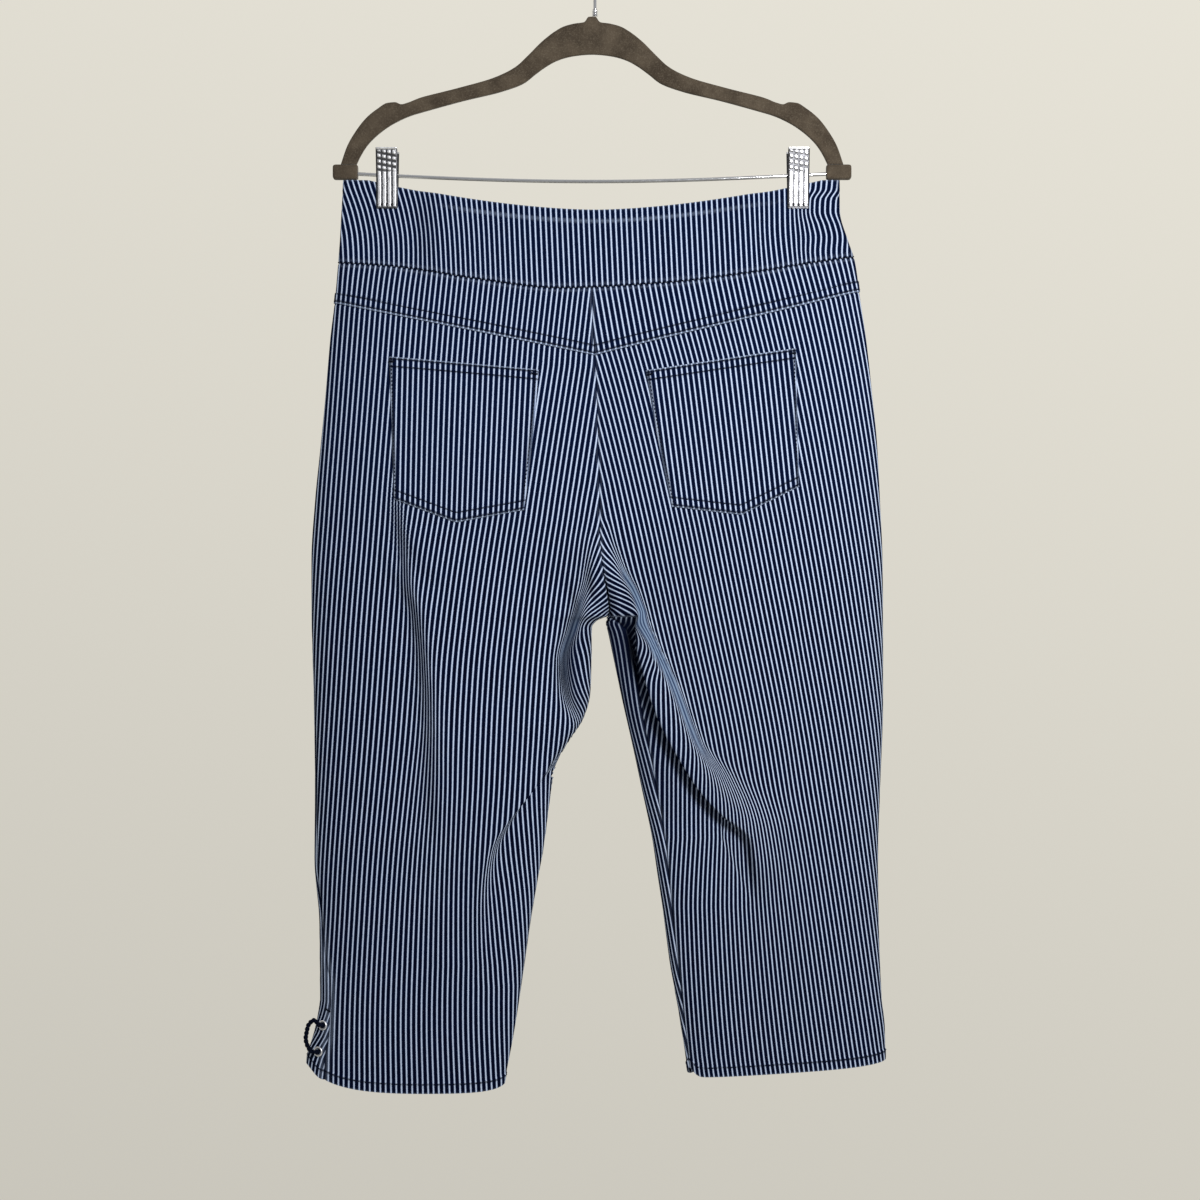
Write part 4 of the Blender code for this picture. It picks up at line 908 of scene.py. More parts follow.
# ---------------------------------------------------------------- cloth pieces

# Extra lines of a grid along its edges, many where the seams are sewn.
EDGE_LINES = (0.0, 0.4, 0.9, 1.4, 1.9, 2.5, 3.6, 5.4, 7.2, 7.9, 8.4, 8.9, 9.6, 11.0)
SEWN_GAP = 0.1           # between two pieces at their seam
UNDERLAP = 1.4           # how far a piece's inner skin reaches under its neighbours
VENT_WORN = (850.0, 900.0)   # this far down the worn band beside the side seam sets in
FINE_ROWS = {"back": 150, "front": 110}
CROTCH_ZONE = 34.0       # this far above and below the crotch the rows are closer together
CROTCH_ROWS = {"back": 46, "front": 24}
LEG_COLUMNS = 66
INNER_COLUMNS = 26
# How far on the outer side of a leg's main fold the columns run that keep to it.
BESIDE_GUIDE = np.concatenate([np.linspace(30.0, 11.0, 10), np.linspace(10.0, -9.0, 26)])
TUCK_WIDTH = 4.0         # an overlap draws the cloth most at this distance from its line
TUCK_FADE = (-805.0, -745.0)   # and less and less between these heights
TUCK_FROM_EDGE = (3.0, 12.0)   # and between these distances from the leg's inner edge
HEM_DEPTH, HEM_STITCHES = 8.6, 7.8   # from the edge
VENT_TOP = -939.5
YOKE_LAP = 8.4
BAND_DEPTH, YOKE_DEPTH = 75.0, 50.0  # roughly, to space the rows of a grid
POCKET_WIDTH, POCKET_DEPTH = 118.0, 135.0
FADE_LOW, FADE_HIGH = -620.0, -400.0   # the cloth is bluer above than below
# How far the waistband's stripes wander to the right on their way down, at its two ends, and
# how far those of the other pieces lean for each millimetre of height.
BAND_SHIFTS = table("depth left right",
    (0, 0, 0), (8, 2, -1), (17, 4.8, -6.2), (27, 7.4, -6.8), (39, 9.6, -3.3), (48, 11, -1.9),
    (64, 12.2, -4), (78, 12.6, -4))
BAND_LEFT_END = (50.0, 220.0)    # how far out the wandering at each end sets in and is full
BAND_RIGHT_END = (165.0, 190.0)
BAND_WORN = (0.25, 0.35, 0.6, 0.85)   # shares of its length where a worn line starts and ends
BAND_LEAN = 0.045
YOKE_LEAN = {"left": (0.09, 0.12), "right": (0.23, 0.16)}   # at the side and the centre back
POCKET_LEAN = {"left": (0.015, 0.05), "right": (0.10, 0.13)}   # at the outer and inner edge




def edged(count, length):
    """Shares from 0 to 1 along this length, closer together near both ends."""
    first = np.array(EDGE_LINES) + SEWN_GAP / 2
    middle = np.linspace(first[-1], length - first[-1], count + 2)[1:-1]
    return np.concatenate([first, middle, length - first[::-1]]) / length


def fine_rows(side, face):
    """Heights of a leg panel's rows on the side seam."""
    top = HIP_ROWS[side, face]["side"][0]
    hem = LEG_ROWS[side]["side"][-1]
    rows = top - edged(FINE_ROWS[face], top - hem) * (top - hem)
    near = np.abs(rows - CROTCH) < CROTCH_ZONE
    dense = np.linspace(CROTCH + CROTCH_ZONE, CROTCH - CROTCH_ZONE, CROTCH_ROWS[face])
    return np.sort(np.concatenate([rows[~near], dense]))[::-1]


def fine_columns(side, row):
    """u of a back panel's columns at a row, with many of them beside the leg's main fold."""
    outer = edged(LEG_COLUMNS, PANEL_WIDTH)
    total = len(outer) + len(BESIDE_GUIDE) + INNER_COLUMNS
    plain = np.interp(np.linspace(0.0, 1.0, total), np.linspace(0.0, 1.0, len(outer)), outer)
    fine = np.linspace(plain[0], plain[-1], 601)
    x, _y, z = panel_point(side, "back", fine, np.full_like(fine, row), 0.0).T
    past_guide = np.maximum.accumulate(OUTWARD[side] * (read(GUIDES[side], "x", z) - x))
    beside = np.interp(-BESIDE_GUIDE, past_guide + np.arange(len(fine)) * 1e-6, fine)
    reach = beside[0] / plain[-1]
    first = outer[:-1] * reach
    last = mix(beside[-1], plain[-1], np.linspace(0.0, 1.0, INNER_COLUMNS + 2)[1:])
    guided = np.concatenate([first, beside, last])
    return mix(plain, guided, ramp(-row, -GUIDES_FROM, -GUIDES_TO))


def overlap_pull(side, points):
    """How far the cloth on both sides of an overlap is drawn over each other, in x and z."""
    x, y, z = np.moveaxis(points, -1, 0)
    pull_x, pull_z = np.zeros_like(x), np.zeros_like(x)
    from_edge = np.abs(x - read(LEGS[side], "inner", z))
    for fold in BACK_FOLDS:
        if fold.tuck:
            gap, alive, across = beside_fold(fold, x, z)
            way = gap / TUCK_WIDTH
            pull = -fold.tuck * alive * way * np.exp(0.5 - 0.5 * way * way)
            pull *= ramp(from_edge, *TUCK_FROM_EDGE) * ramp(z, *TUCK_FADE) * ramp(-y, 0.0, 3.0)
            pull_x += pull * across[0]
            pull_z += pull * across[1]
    return pull_x, pull_z


# How far the centre back seam wanders to the right just above the crotch.
SEAM_WANDER = table("z x",
    (-490, 0), (-520, -1.5), (-547, -3), (-566, -3), (-580, -1.5), (-592, 0.8), (-600, 2.2),
    (-606, 1.5), (-612, 0))
WANDER_WIDTH = 20.0


def seam_wander(points):
    """How far each point is moved along x with the centre back seam."""
    x, z = points[..., 0], points[..., 2]
    beside = line_mark(x, read(HIPS, "centre_back", z), WANDER_WIDTH)
    return read(SEAM_WANDER, "x", z) * beside


def fade_at(z):
    """How much bluer the cloth is at a height."""
    return ramp(z, FADE_LOW, FADE_HIGH)


def leg_panel(side, face, finish):
    """A leg panel, and the line of its hem's stitches."""
    rows = fine_rows(side, face)
    if face == "back":
        u = np.array([fine_columns(side, row) for row in rows])
    else:
        u = np.tile(edged(LEG_COLUMNS, PANEL_WIDTH), (len(rows), 1))
    all_rows = np.repeat(rows[:, None], u.shape[1], axis=1)
    points = panel_point(side, face, u, all_rows, 0.0)
    pull_x, pull_z = np.zeros_like(u), np.zeros_like(u)
    if face == "back":
        pull_x, pull_z = overlap_pull(side, points)
        points = points + np.stack([pull_x + seam_wander(points), np.zeros_like(u), pull_z], axis=-1)
    plain = panel_point(side, face, u, all_rows, 0.0, folded=False)
    stripes = leg_stripes(side, face, plain, pull_x)
    grid = measured(points)
    points = raised(points, face, groove(grid.start, 0.5, 1.2) + groove(grid.end, 0.7, 1.4)
                    + groove(grid.top, 0.5, 1.2) + lapped(grid.bottom, 0.6, HEM_DEPTH))
    vent_worn = ramp(-points[..., 2], *VENT_WORN)
    wear = (marks((0.12, grid.end, 1.4, 0.6), (0.25, grid.bottom, 0.0, 0.8))
            + 0.3 * line_mark(grid.start, 2.6, 2.0) * vent_worn)
    # dark is painted shade: in the seam ditches along the top edge (under the yoke or the waistband),
    # the inseam and the side seam, in the furrow of the hem's stitches, and in the hollows at the back
    # of the leg
    dark = marks((0.3, grid.top, 0.0, 0.7), (0.45, grid.end, 0.0, 0.4), (0.6, grid.start, 0.0, 0.6),
                 (0.95, grid.bottom, HEM_STITCHES, 0.8)) + hollow_shade(side, points)
    made = cloth_piece(f"leg_{face}_{side}", face, points, stripes, finish, wear,
                       fade_at(points[..., 2]), np.minimum(dark, 0.95))
    grid = measured(points)
    return made, [line_at(grid, face, grid.bottom, HEM_STITCHES)]


def waistband(face, finish):
    """A half of the waistband, and the line of the stitches under it."""
    u, v = np.meshgrid(edged(150, 2 * PANEL_WIDTH), edged(18, BAND_DEPTH))
    points = band_point(face, u, v, 0.0)
    grid = measured(points)
    points = raised(points, face, groove(grid.bottom, 0.7, 1.3) + lapped(grid.top, 0.25, 9.0)
                    + groove(grid.start, 0.4, 1.2) + groove(grid.end, 0.4, 1.2))
    x, depth = points[..., 0], WAIST_TOP - points[..., 2]
    shift = (read(BAND_SHIFTS, "left", depth, "depth") * ramp(-x, *BAND_LEFT_END)
             + read(BAND_SHIFTS, "right", depth, "depth") * ramp(x, *BAND_RIGHT_END)
             + BAND_LEAN * depth)
    starts, full, fades, ends = BAND_WORN
    worn_line = line_mark(grid.top, 9.6, 1.0) * ramp(u, starts, full) * ramp(-u, -ends, -fades)
    wear = 0.45 * worn_line + marks((0.25, grid.top, 0.0, 0.8), (0.15, grid.bottom, 2.5, 0.8))
    # dark is painted shade: in the ditch of the seam under the band and along a line near its right end
    dark = marks((0.55, grid.bottom, 0.0, 0.6), (0.5, grid.end, 2.5, 0.8))
    made = cloth_piece(f"waistband_{face}", face, points, level_run(points, 0.0) - shift, finish,
                       wear, 1.0, dark)
    return made, [line_at(grid, face, grid.bottom, 0.4)]


def yoke(side, finish):
    """A back yoke, and the two lines of stitches along its lower edge."""
    u, v = np.meshgrid(edged(80, PANEL_WIDTH), edged(8, YOKE_DEPTH))
    points = yoke_point(side, u, v, 0.0)
    grid = measured(points)
    points = raised(points, "back", groove(grid.top, 0.6, 1.3) + lapped(grid.bottom, 0.8, YOKE_LAP)
                    + groove(grid.start, 0.5, 1.2) + groove(grid.end, 0.6, 1.3))
    lean = mix(*YOKE_LEAN[side], u * u)
    stripes = level_run(points, OUTWARD[side] * PANEL_WIDTH / 2) + lean * (WAIST_TOP - points[..., 2])
    wear = marks((0.9, grid.bottom, 0.0, 1.0), (0.25, grid.end, 1.2, 0.6), (0.2, grid.top, 2.2, 0.8))
    # dark is painted shade: in the ditch of the waist seam, in the furrows of the two rows of stitches
    # above the lower edge, and in the ditch of the centre back seam
    dark = marks((0.55, grid.top, 0.0, 0.6), (0.95, grid.bottom, 2.2, 0.7),
                 (0.95, grid.bottom, YOKE_LAP, 0.7), (0.5, grid.end, 0.0, 0.4))
    made = cloth_piece(f"yoke_back_{side}", "back", points, stripes, finish, wear,
                       fade_at(points[..., 2]), dark)
    grid = measured(points)
    return made, [line_at(grid, "back", grid.bottom, depth) for depth in (1.8, YOKE_LAP)]


def pocket(side, finish):
    """A patch pocket, and its lines of stitches, the opening's outer one first."""
    p, q = np.meshgrid(edged(34, POCKET_WIDTH), edged(38, POCKET_DEPTH))
    x, z = pocket_outline(side, p, q)
    on_panel, normal = surface_at(side, "back", x, z)
    flat = measured(on_panel)
    sides = np.minimum(flat.start, flat.end)
    edge = np.minimum(sides, flat.bottom)
    height = (POCKET_LIFT + POCKET_CLOTH + 0.9 * np.sin(math.pi * p) * np.sin(math.pi * q)
              + lapped(edge, 0.35, 6.0) + lapped(flat.top, 0.5, 8.0) + groove(edge, 0.9, 0.7))
    points = on_panel + normal * height[..., None]
    stripes = x - OUTWARD[side] * mix(*POCKET_LEAN[side], p) * (POCKETS[side].outer_top[1] - z)
    wear = marks((0.55, sides, 0.0, 1.3), (0.9, flat.top, 0.0, 0.9), (0.8, flat.bottom, 0.0, 1.0))
    # dark is painted shade in the furrows of the stitch rows along the top, the bottom and the sides
    dark = marks((0.95, flat.top, 1.9, 0.7), (0.95, flat.top, 8.2, 0.7), (0.95, flat.bottom, 2.0, 0.7),
                 (0.95, flat.bottom, 8.2, 0.7), (0.75, sides, 2.0, 0.7))
    made = cloth_piece(f"pocket_{side}", "back", points, stripes, finish, wear, fade_at(z), dark,
                       POCKET_CLOTH)
    grid = measured(points)
    lines = [line_at(grid, "back", grid.top, depth) for depth in (1.4, 8.0)]
    lines += [line_at(grid, "back", grid.bottom, depth) for depth in (1.6, 8.2)]
    lines += [line_at(grid, "back", distance, 1.8, axis=1) for distance in (grid.start, grid.end)]
    return made, lines


# ---------------------------------------------------------------- sewing

STITCH, STITCH_GAP, THREAD = 2.6, 0.6, 0.55
SPINDLE = ((0, 2, 4), (0, 4, 3), (0, 3, 5), (0, 5, 2), (1, 4, 2), (1, 3, 4), (1, 5, 3), (1, 2, 5))
TACK_STITCHES, TACK_PITCH, TACK_HALF, TACK_LIFT = 9, 0.75, 1.1, 0.3
TACK_IN, TACK_DOWN = 3.5, 2.6   # a tack's middle from the end of the opening's stitches


def stitch(first, last, up):
    """One stitch between two points, thickest in the middle."""
    along = last - first
    aside = np.cross(along, up)
    aside *= THREAD / np.linalg.norm(aside)
    centre = (first + last) / 2 + up * THREAD * 0.4
    return ([first, last, centre + aside, centre - aside,
             centre + up * THREAD, centre - up * THREAD], SPINDLE)


def stitches_along(line, normal):
    """Stitches along a line of points, with the cloth's normals there."""
    run = run_along(line)
    count = int(run[-1] / (STITCH + STITCH_GAP))

    def along(values, place):
        return np.array([np.interp(place, run, values[:, axis]) for axis in range(3)])

    return [stitch(along(line, middle - STITCH / 2), along(line, middle + STITCH / 2),
                   unit(along(normal, middle)))
            for middle in (np.arange(count) + 0.5) * run[-1] / count]


def bar_tack(corner, along, up):
    """Close stitches across the end of a pocket's opening."""
    aside = np.cross(along, up)
    places = [corner + along * (k - TACK_STITCHES // 2) * TACK_PITCH + up * TACK_LIFT
              for k in range(TACK_STITCHES)]
    return [stitch(place - aside * TACK_HALF, place + aside * TACK_HALF, up) for place in places]


def vent_tack(side):
    """Close stitches across the side seam at the top of the vent."""
    u = np.array([0.02, 0.04, 0.02])
    rows = np.array([0.0, 0.0, -2.0]) + VENT_TOP
    here, inward, below = panel_point(side, "front", u, rows, 0.0)
    along = unit(here - inward - 0.4 * (here - below))
    up = unit(np.cross(here - inward, here - below))
    up *= np.sign(up @ (here - panel_point(side, "front", u[:1], rows[:1], CLOTH)[0]))
    return bar_tack(here, along, up)


def sewing(name, lines, thread, tacks):
    parts = [part for line, normal in lines for part in stitches_along(line, normal)]
    return joined(name, parts + tacks, thread)


# ---------------------------------------------------------------- vent trim

def eyelet(side, name, place, finish):
    """A pressed ring with a rolled flange."""
    here, normal = place
    bead = (EYELET_RIM - EYELET_HOLE) / 2
    turns = np.linspace(0.0, math.pi, 9)
    profile = [(EYELET_HOLE + bead * (1 - math.cos(turn)), EYELET_THICKNESS * math.sin(turn))
               for turn in turns]
    profile = [(EYELET_HOLE, -0.5), *profile, (EYELET_RIM, -0.3)]
    part = lathed(here + normal * EYELET_LIFT, normal, profile[::-1], 40)
    return stand_in(f"eyelet_{name}_{side}", "ring", [part], finish)


def lace(side, places, finish):
    """A cord of two twisted strands from the upper eyelet, out over the vent and back in."""
    route = lace_route(side, places, LACE_STATIONS)
    along = unit(np.gradient(route, axis=0))
    first = unit(np.cross(along, places["upper"][1]))
    second = np.cross(along, first)
    parts = []
    for strand in (0.0, math.pi):
        turn = (2 * math.pi * run_along(route) / LACE_TWIST + strand)[:, None]
        way = route + STRAND_OFFSET * (first * np.cos(turn) + second * np.sin(turn))
        parts.append(tube_parts(way, STRAND_RADIUS, 12))
    return stand_in(f"vent_lace_{side}", "cord", parts, finish)


# ---------------------------------------------------------------- the hanger

ARCH_STATIONS, ARCH_SIDES = 170, 32
# Shares of a cap's length where its rings lie, closer together at its rounded ends.
CAP_SHARES = (*np.linspace(0.0, 0.08, 6), *np.linspace(0.12, 0.84, 10), *np.linspace(0.88, 1.0, 9))


def rounded(turn, power):
    """Cosine and sine of a turn, bent towards a square with round corners."""
    cos, sin = np.cos(turn), np.sin(turn)
    return np.sign(cos) * np.abs(cos) ** power, np.sign(sin) * np.abs(sin) ** power


def hanger_arch(finish):
    """The flocked arch, from one end cap over the neck to the other."""
    keys = dict(HANGER_ARCH, station=np.arange(float(len(HANGER_ARCH["top_x"]))))
    last = keys["station"][-1]
    depth, up = rounded(full_turn(ARCH_SIDES), ARCH_SQUARENESS)
    half = np.array([0.0, HANGER_THICKNESS / 2, 0.0]) * depth[:, None]
    rings = []
    for station in np.linspace(-last, last, ARCH_STATIONS * 2 + 1):
        mirror = -1.0 if station < 0 else 1.0
        top_x, top_z, low_x, low_z = (read(keys, name, abs(station), "station")
                                      for name in ("top_x", "top_z", "low_x", "low_z"))
        top = np.array([HANGER_MIDDLE + mirror * top_x, 0.0, top_z])
        low = np.array([HANGER_MIDDLE + mirror * low_x, 0.0, low_z])
        rings.append(mix(low, top, (up[:, None] + 1.0) / 2) + half)
    return stand_in("hanger_arch", "flocked", [lofted(rings)], finish)


def end_cap(side, finish):
    """The rounded block at an end of the arch that holds the bar."""
    middle_z, half_z = (CAP_TOP + CAP_BOTTOM) / 2, (CAP_TOP - CAP_BOTTOM) / 2
    depth, up = rounded(full_turn(48), CAP_SQUARENESS)
    keys = table("share shrink", *CAP_ROUNDING)
    rings = []
    for share in CAP_SHARES:
        shrink = read(keys, "shrink", share, "share")
        x = HANGER_MIDDLE + OUTWARD[side] * mix(CAP_INNER, CAP_OUTER, share)
        rings.append(np.stack([np.full_like(depth, x), CAP_THICKNESS / 2 * shrink * depth,
                               middle_z + half_z * shrink * up], axis=-1))
    return stand_in(f"hanger_cap_{side}", "flocked", [lofted(rings)], finish)


def bar_height(x):
    """Height of the bar's middle, which the clips' load bends down."""
    return BAR_END_Z - BAR_SAG * np.cos(math.pi * (x - HANGER_MIDDLE) / (2 * BAR_HALF))


def trouser_bar(finish):
    """The chrome bar between the caps."""
    x = HANGER_MIDDLE + np.linspace(-BAR_HALF, BAR_HALF, 90)
    route = np.stack([x, np.zeros_like(x), bar_height(x)], axis=-1)
    return stand_in("trouser_bar", "round", [tube_parts(route, BAR_RADIUS, 28)], finish)


def hook(finish):
    """A round hook whose inside top is the origin, on a straight shaft into the neck."""
    radius = HOOK_INNER + HOOK_WIRE
    turns = np.radians(np.linspace(HOOK_TIP, HOOK_SHOULDER, 70))
    route = [(radius * math.cos(t), 0.0, radius * math.sin(t) - HOOK_INNER) for t in turns]
    start = np.array([route[-1][0], route[-1][2]])
    heading = np.array([math.sin(turns[-1]), -math.cos(turns[-1])])
    neck = np.array([0.0, start[1] - 2 * HOOK_BEND])
    for t in np.linspace(0.0, 1.0, 24)[1:]:
        bends = (start, start + heading * HOOK_BEND, neck + (0.0, HOOK_BEND), neck)
        weights = ((1 - t) ** 3, 3 * t * (1 - t) ** 2, 3 * t * t * (1 - t), t ** 3)
        x, z = sum(w * b for w, b in zip(weights, bends))
        route.append((x, 0.0, z))
    route += [(0.0, 0.0, z) for z in np.linspace(neck[1], SHAFT_FOOT, 16)[1:]]
    size = np.full(len(route), HOOK_WIRE)
    size[:len(HOOK_TIP_SIZES)] *= HOOK_TIP_SIZES
    return stand_in("hanger_hook", "round", [tube_parts(route, size, 28)], finish)


def hook_collar(finish):
    """The crimped collar between the hook's shaft and the neck."""
    heights = np.linspace(COLLAR_BOTTOM, COLLAR_TOP, 25)
    bulge = CRIMP_DEPTH * np.cos((heights - COLLAR_BOTTOM) * 2 * math.pi / CRIMP_PITCH)
    ends = (ramp(heights, COLLAR_BOTTOM, COLLAR_BOTTOM + 0.4)
            * ramp(-heights, -COLLAR_TOP, 0.4 - COLLAR_TOP))
    outer = [(COLLAR_OUTER - CRIMP_DEPTH + b - 0.2 * (1 - e), z)
             for b, e, z in zip(bulge, ends, heights)]
    profile = [(COLLAR_INNER, COLLAR_BOTTOM), *outer, (COLLAR_INNER, COLLAR_TOP)]
    part = lathed((0, 0, 0), (0, 0, 1), profile, 36)
    return stand_in("hook_collar", "crimped", [part], finish)


CLIP_PLATE = 18.5        # width of a jaw's plate
PLATE_RIM = 1.2          # its plain border, on both sides together
RIB_PITCH = (CLIP_PLATE - PLATE_RIM) / JAW_RIBS
GRIP_FLOOR = -221.5      # the ribs are cut into studs above this height
STUD_PITCH, STUD_SLANT = 4.7, 0.18
PIT_HEIGHT, PIT_RADIUS, PIT_DEPTH = -249.6, 0.8, 0.9   # row of pits above the teeth
TOOTH_DEPTH, TOOTH_PITCH = 0.9, 3.0


def waves(turns):
    """1 at whole turns and 0 halfway between them."""
    return 0.5 + 0.5 * np.cos(2 * math.pi * turns)


def jaw_relief(x, z):
    """Height of a jaw's ribs, studs and pits over its plate; x is from the jaw's middle."""
    ribs = waves(x / RIB_PITCH + 0.5 * JAW_RIBS + 0.5)
    from_side = CLIP_PLATE / 2 - np.abs(x)
    ribs = ramp(ribs, 0.12, 0.62) * ramp(from_side, 0.2, 1.2)
    studs = waves((z + STUD_SLANT * x - GRIP_FLOOR) / STUD_PITCH - 0.5)
    down = JAW["z"][-1] - z
    in_grip = ramp(z, GRIP_FLOOR - 1.0, GRIP_FLOOR + 0.6) * ramp(down, 2.1, 3.3)
    relief = RIB_HEIGHT * ribs * (1.0 - in_grip * (1.0 - ramp(studs, 0.15, 0.75)))
    relief *= ramp(down, 1.5, 2.7) * ramp(z, -252.0, -250.8)
    from_pit = (np.abs(x) + RIB_PITCH / 2) % RIB_PITCH - RIB_PITCH / 2
    pit = np.exp(-(from_pit ** 2 + (z - PIT_HEIGHT) ** 2) / PIT_RADIUS ** 2)
    lip = 0.7 * ramp(-down, -1.9, -0.7)
    return relief + lip - PIT_DEPTH * pit * (from_side > 1.0)


def clip_jaw(side, face, finish):
    """One jaw of a clip: a pressed plate with upright ribs, studs at its grip and teeth."""
    x, z = np.meshgrid(np.linspace(-CLIP_PLATE / 2, CLIP_PLATE / 2, 97),
                       np.linspace(JAW["z"][-1], JAW["z"][0], 200))
    off = read(JAW, "off", z)
    rounding = 0.8 * ramp(np.abs(x), CLIP_PLATE / 2 - 0.9, CLIP_PLATE / 2 + 0.3)
    teeth = TOOTH_DEPTH * waves(x / TOOTH_PITCH) * ramp(-z, 251.0, 253.2)
    outer = off + JAW_SHEET + jaw_relief(x, z) - rounding
    skins = [np.stack([CLIP_X[side] + x, FACING[face] * y, z + teeth], axis=-1).reshape(-1, 3)
             for y in (outer, off)]
    parts = [(np.concatenate(skins), shell_faces(*x.shape))]
    made = stand_in(f"clip_{side}_{face}", "jaw", parts, finish)
    # painted shade for the chrome: 1 where the relief is low, between the ribs and studs and in the pits
    painted_recess_shade = 1.0 - ramp(jaw_relief(x, z), 0.05, 0.5 * RIB_HEIGHT)
    layer = made.data.attributes.new("painted_recess_shade", "FLOAT", "POINT")
    layer.data.foreach_set("value", np.tile(painted_recess_shade.reshape(-1), 2).astype(np.float32))
    return made


def clip_spring(side, finish):
    """A coil spring round the bar between the two jaws."""
    turns = np.linspace(0.0, 2 * math.pi * SPRING_TURNS, SPRING_TURNS * 20)
    radius = SPRING_OUTER - SPRING_WIRE
    run = (turns / turns[-1] - 0.5) * (SPRING_LENGTH - 2 * SPRING_WIRE)
    route = np.stack([CLIP_X[side] + run, radius * np.cos(turns),
                      bar_height(CLIP_X[side]) + radius * np.sin(turns)], axis=-1)
    return stand_in(f"clip_spring_{side}", "coil", [tube_parts(route, SPRING_WIRE, 10)], finish)


# ---------------------------------------------------------------- finishes

COLOUR_A, COLOUR_B, COLOUR_RESULT = 6, 7, 2   # a Mix node's colour sockets


class Nodes:
    """The nodes of a material or world, as they are made and linked."""

    def __init__(self, owner):
        owner.use_nodes = True
        self.tree = owner.node_tree

    def feed(self, socket, value):
        """Gives an input a value or a link."""
        if isinstance(value, bpy.types.NodeSocket):
            self.tree.links.new(value, socket)
        else:
            socket.default_value = value

    def add(self, kind, inputs, **settings):
        """A node with these settings, its inputs fed by index or name."""
        node = self.tree.nodes.new("ShaderNode" + kind)
        for label, value in settings.items():
            setattr(node, label, value)
        for label, value in inputs.items():
            self.feed(node.inputs[label], value)
        return node

    def math(self, operation, first, second=0.0):
        return self.add("Math", {0: first, 1: second}, operation=operation).outputs[0]

    def times(self, first, second):
        return self.math("MULTIPLY", first, second)

    def plus(self, first, second):
        return self.math("ADD", first, second)

    def attribute(self, name):
        return self.add("Attribute", {}, attribute_name=name).outputs["Fac"]

    def noise(self, place, scale, detail=2.0, roughness=0.5):
        made = self.add("TexNoise", {"Vector": place, "Scale": scale, "Detail": detail,
                                     "Roughness": roughness})
        return made.outputs["Fac"]

    def ranged(self, value, low, high, to_low=0.0, to_high=1.0):
        made = self.add("MapRange", {"Value": value, "From Min": low, "From Max": high,
                                     "To Min": to_low, "To Max": to_high},
                        interpolation_type="SMOOTHSTEP")
        return made.outputs["Result"]

    def mixed(self, share, first, second):
        """One colour turning into another."""
        made = self.add("Mix", {"Factor": share}, data_type="RGBA")
        self.feed(made.inputs[COLOUR_A], first)
        self.feed(made.inputs[COLOUR_B], second)
        return made.outputs[COLOUR_RESULT]


class Finish(Nodes):
    """A material in the making, with its Principled shader."""

    def __init__(self, name, **constants):
        self.material = bpy.data.materials.new(name)
        super().__init__(self.material)
        self.shader = self.tree.nodes["Principled BSDF"]
        for label, value in constants.items():
            self.set(label.replace("_", " ").title().replace("Ior", "IOR"), value)

    def set(self, label, value):
        """Gives an input of the shader a value or a link."""
        self.feed(self.shader.inputs[label], value)

    def place(self):
        """Each point's place in the object."""
        return self.add("TexCoord", {}).outputs["Object"]

    def bump(self, height, distance, strength):
        made = self.add("Bump", {"Height": height, "Distance": distance, "Strength": strength})
        self.set("Normal", made.outputs["Normal"])


def colour(red, green, blue):
    return (red, green, blue, 1.0)


WHITE_HALF = (0.075, 0.17)           # a white stripe's edge, in pitches from its middle
BLUE_HALF = (0.15, 0.26)             # and the edge of the blue beside it
HATCH = 1.4                          # radians to a pitch, in the pattern of gathered cloth


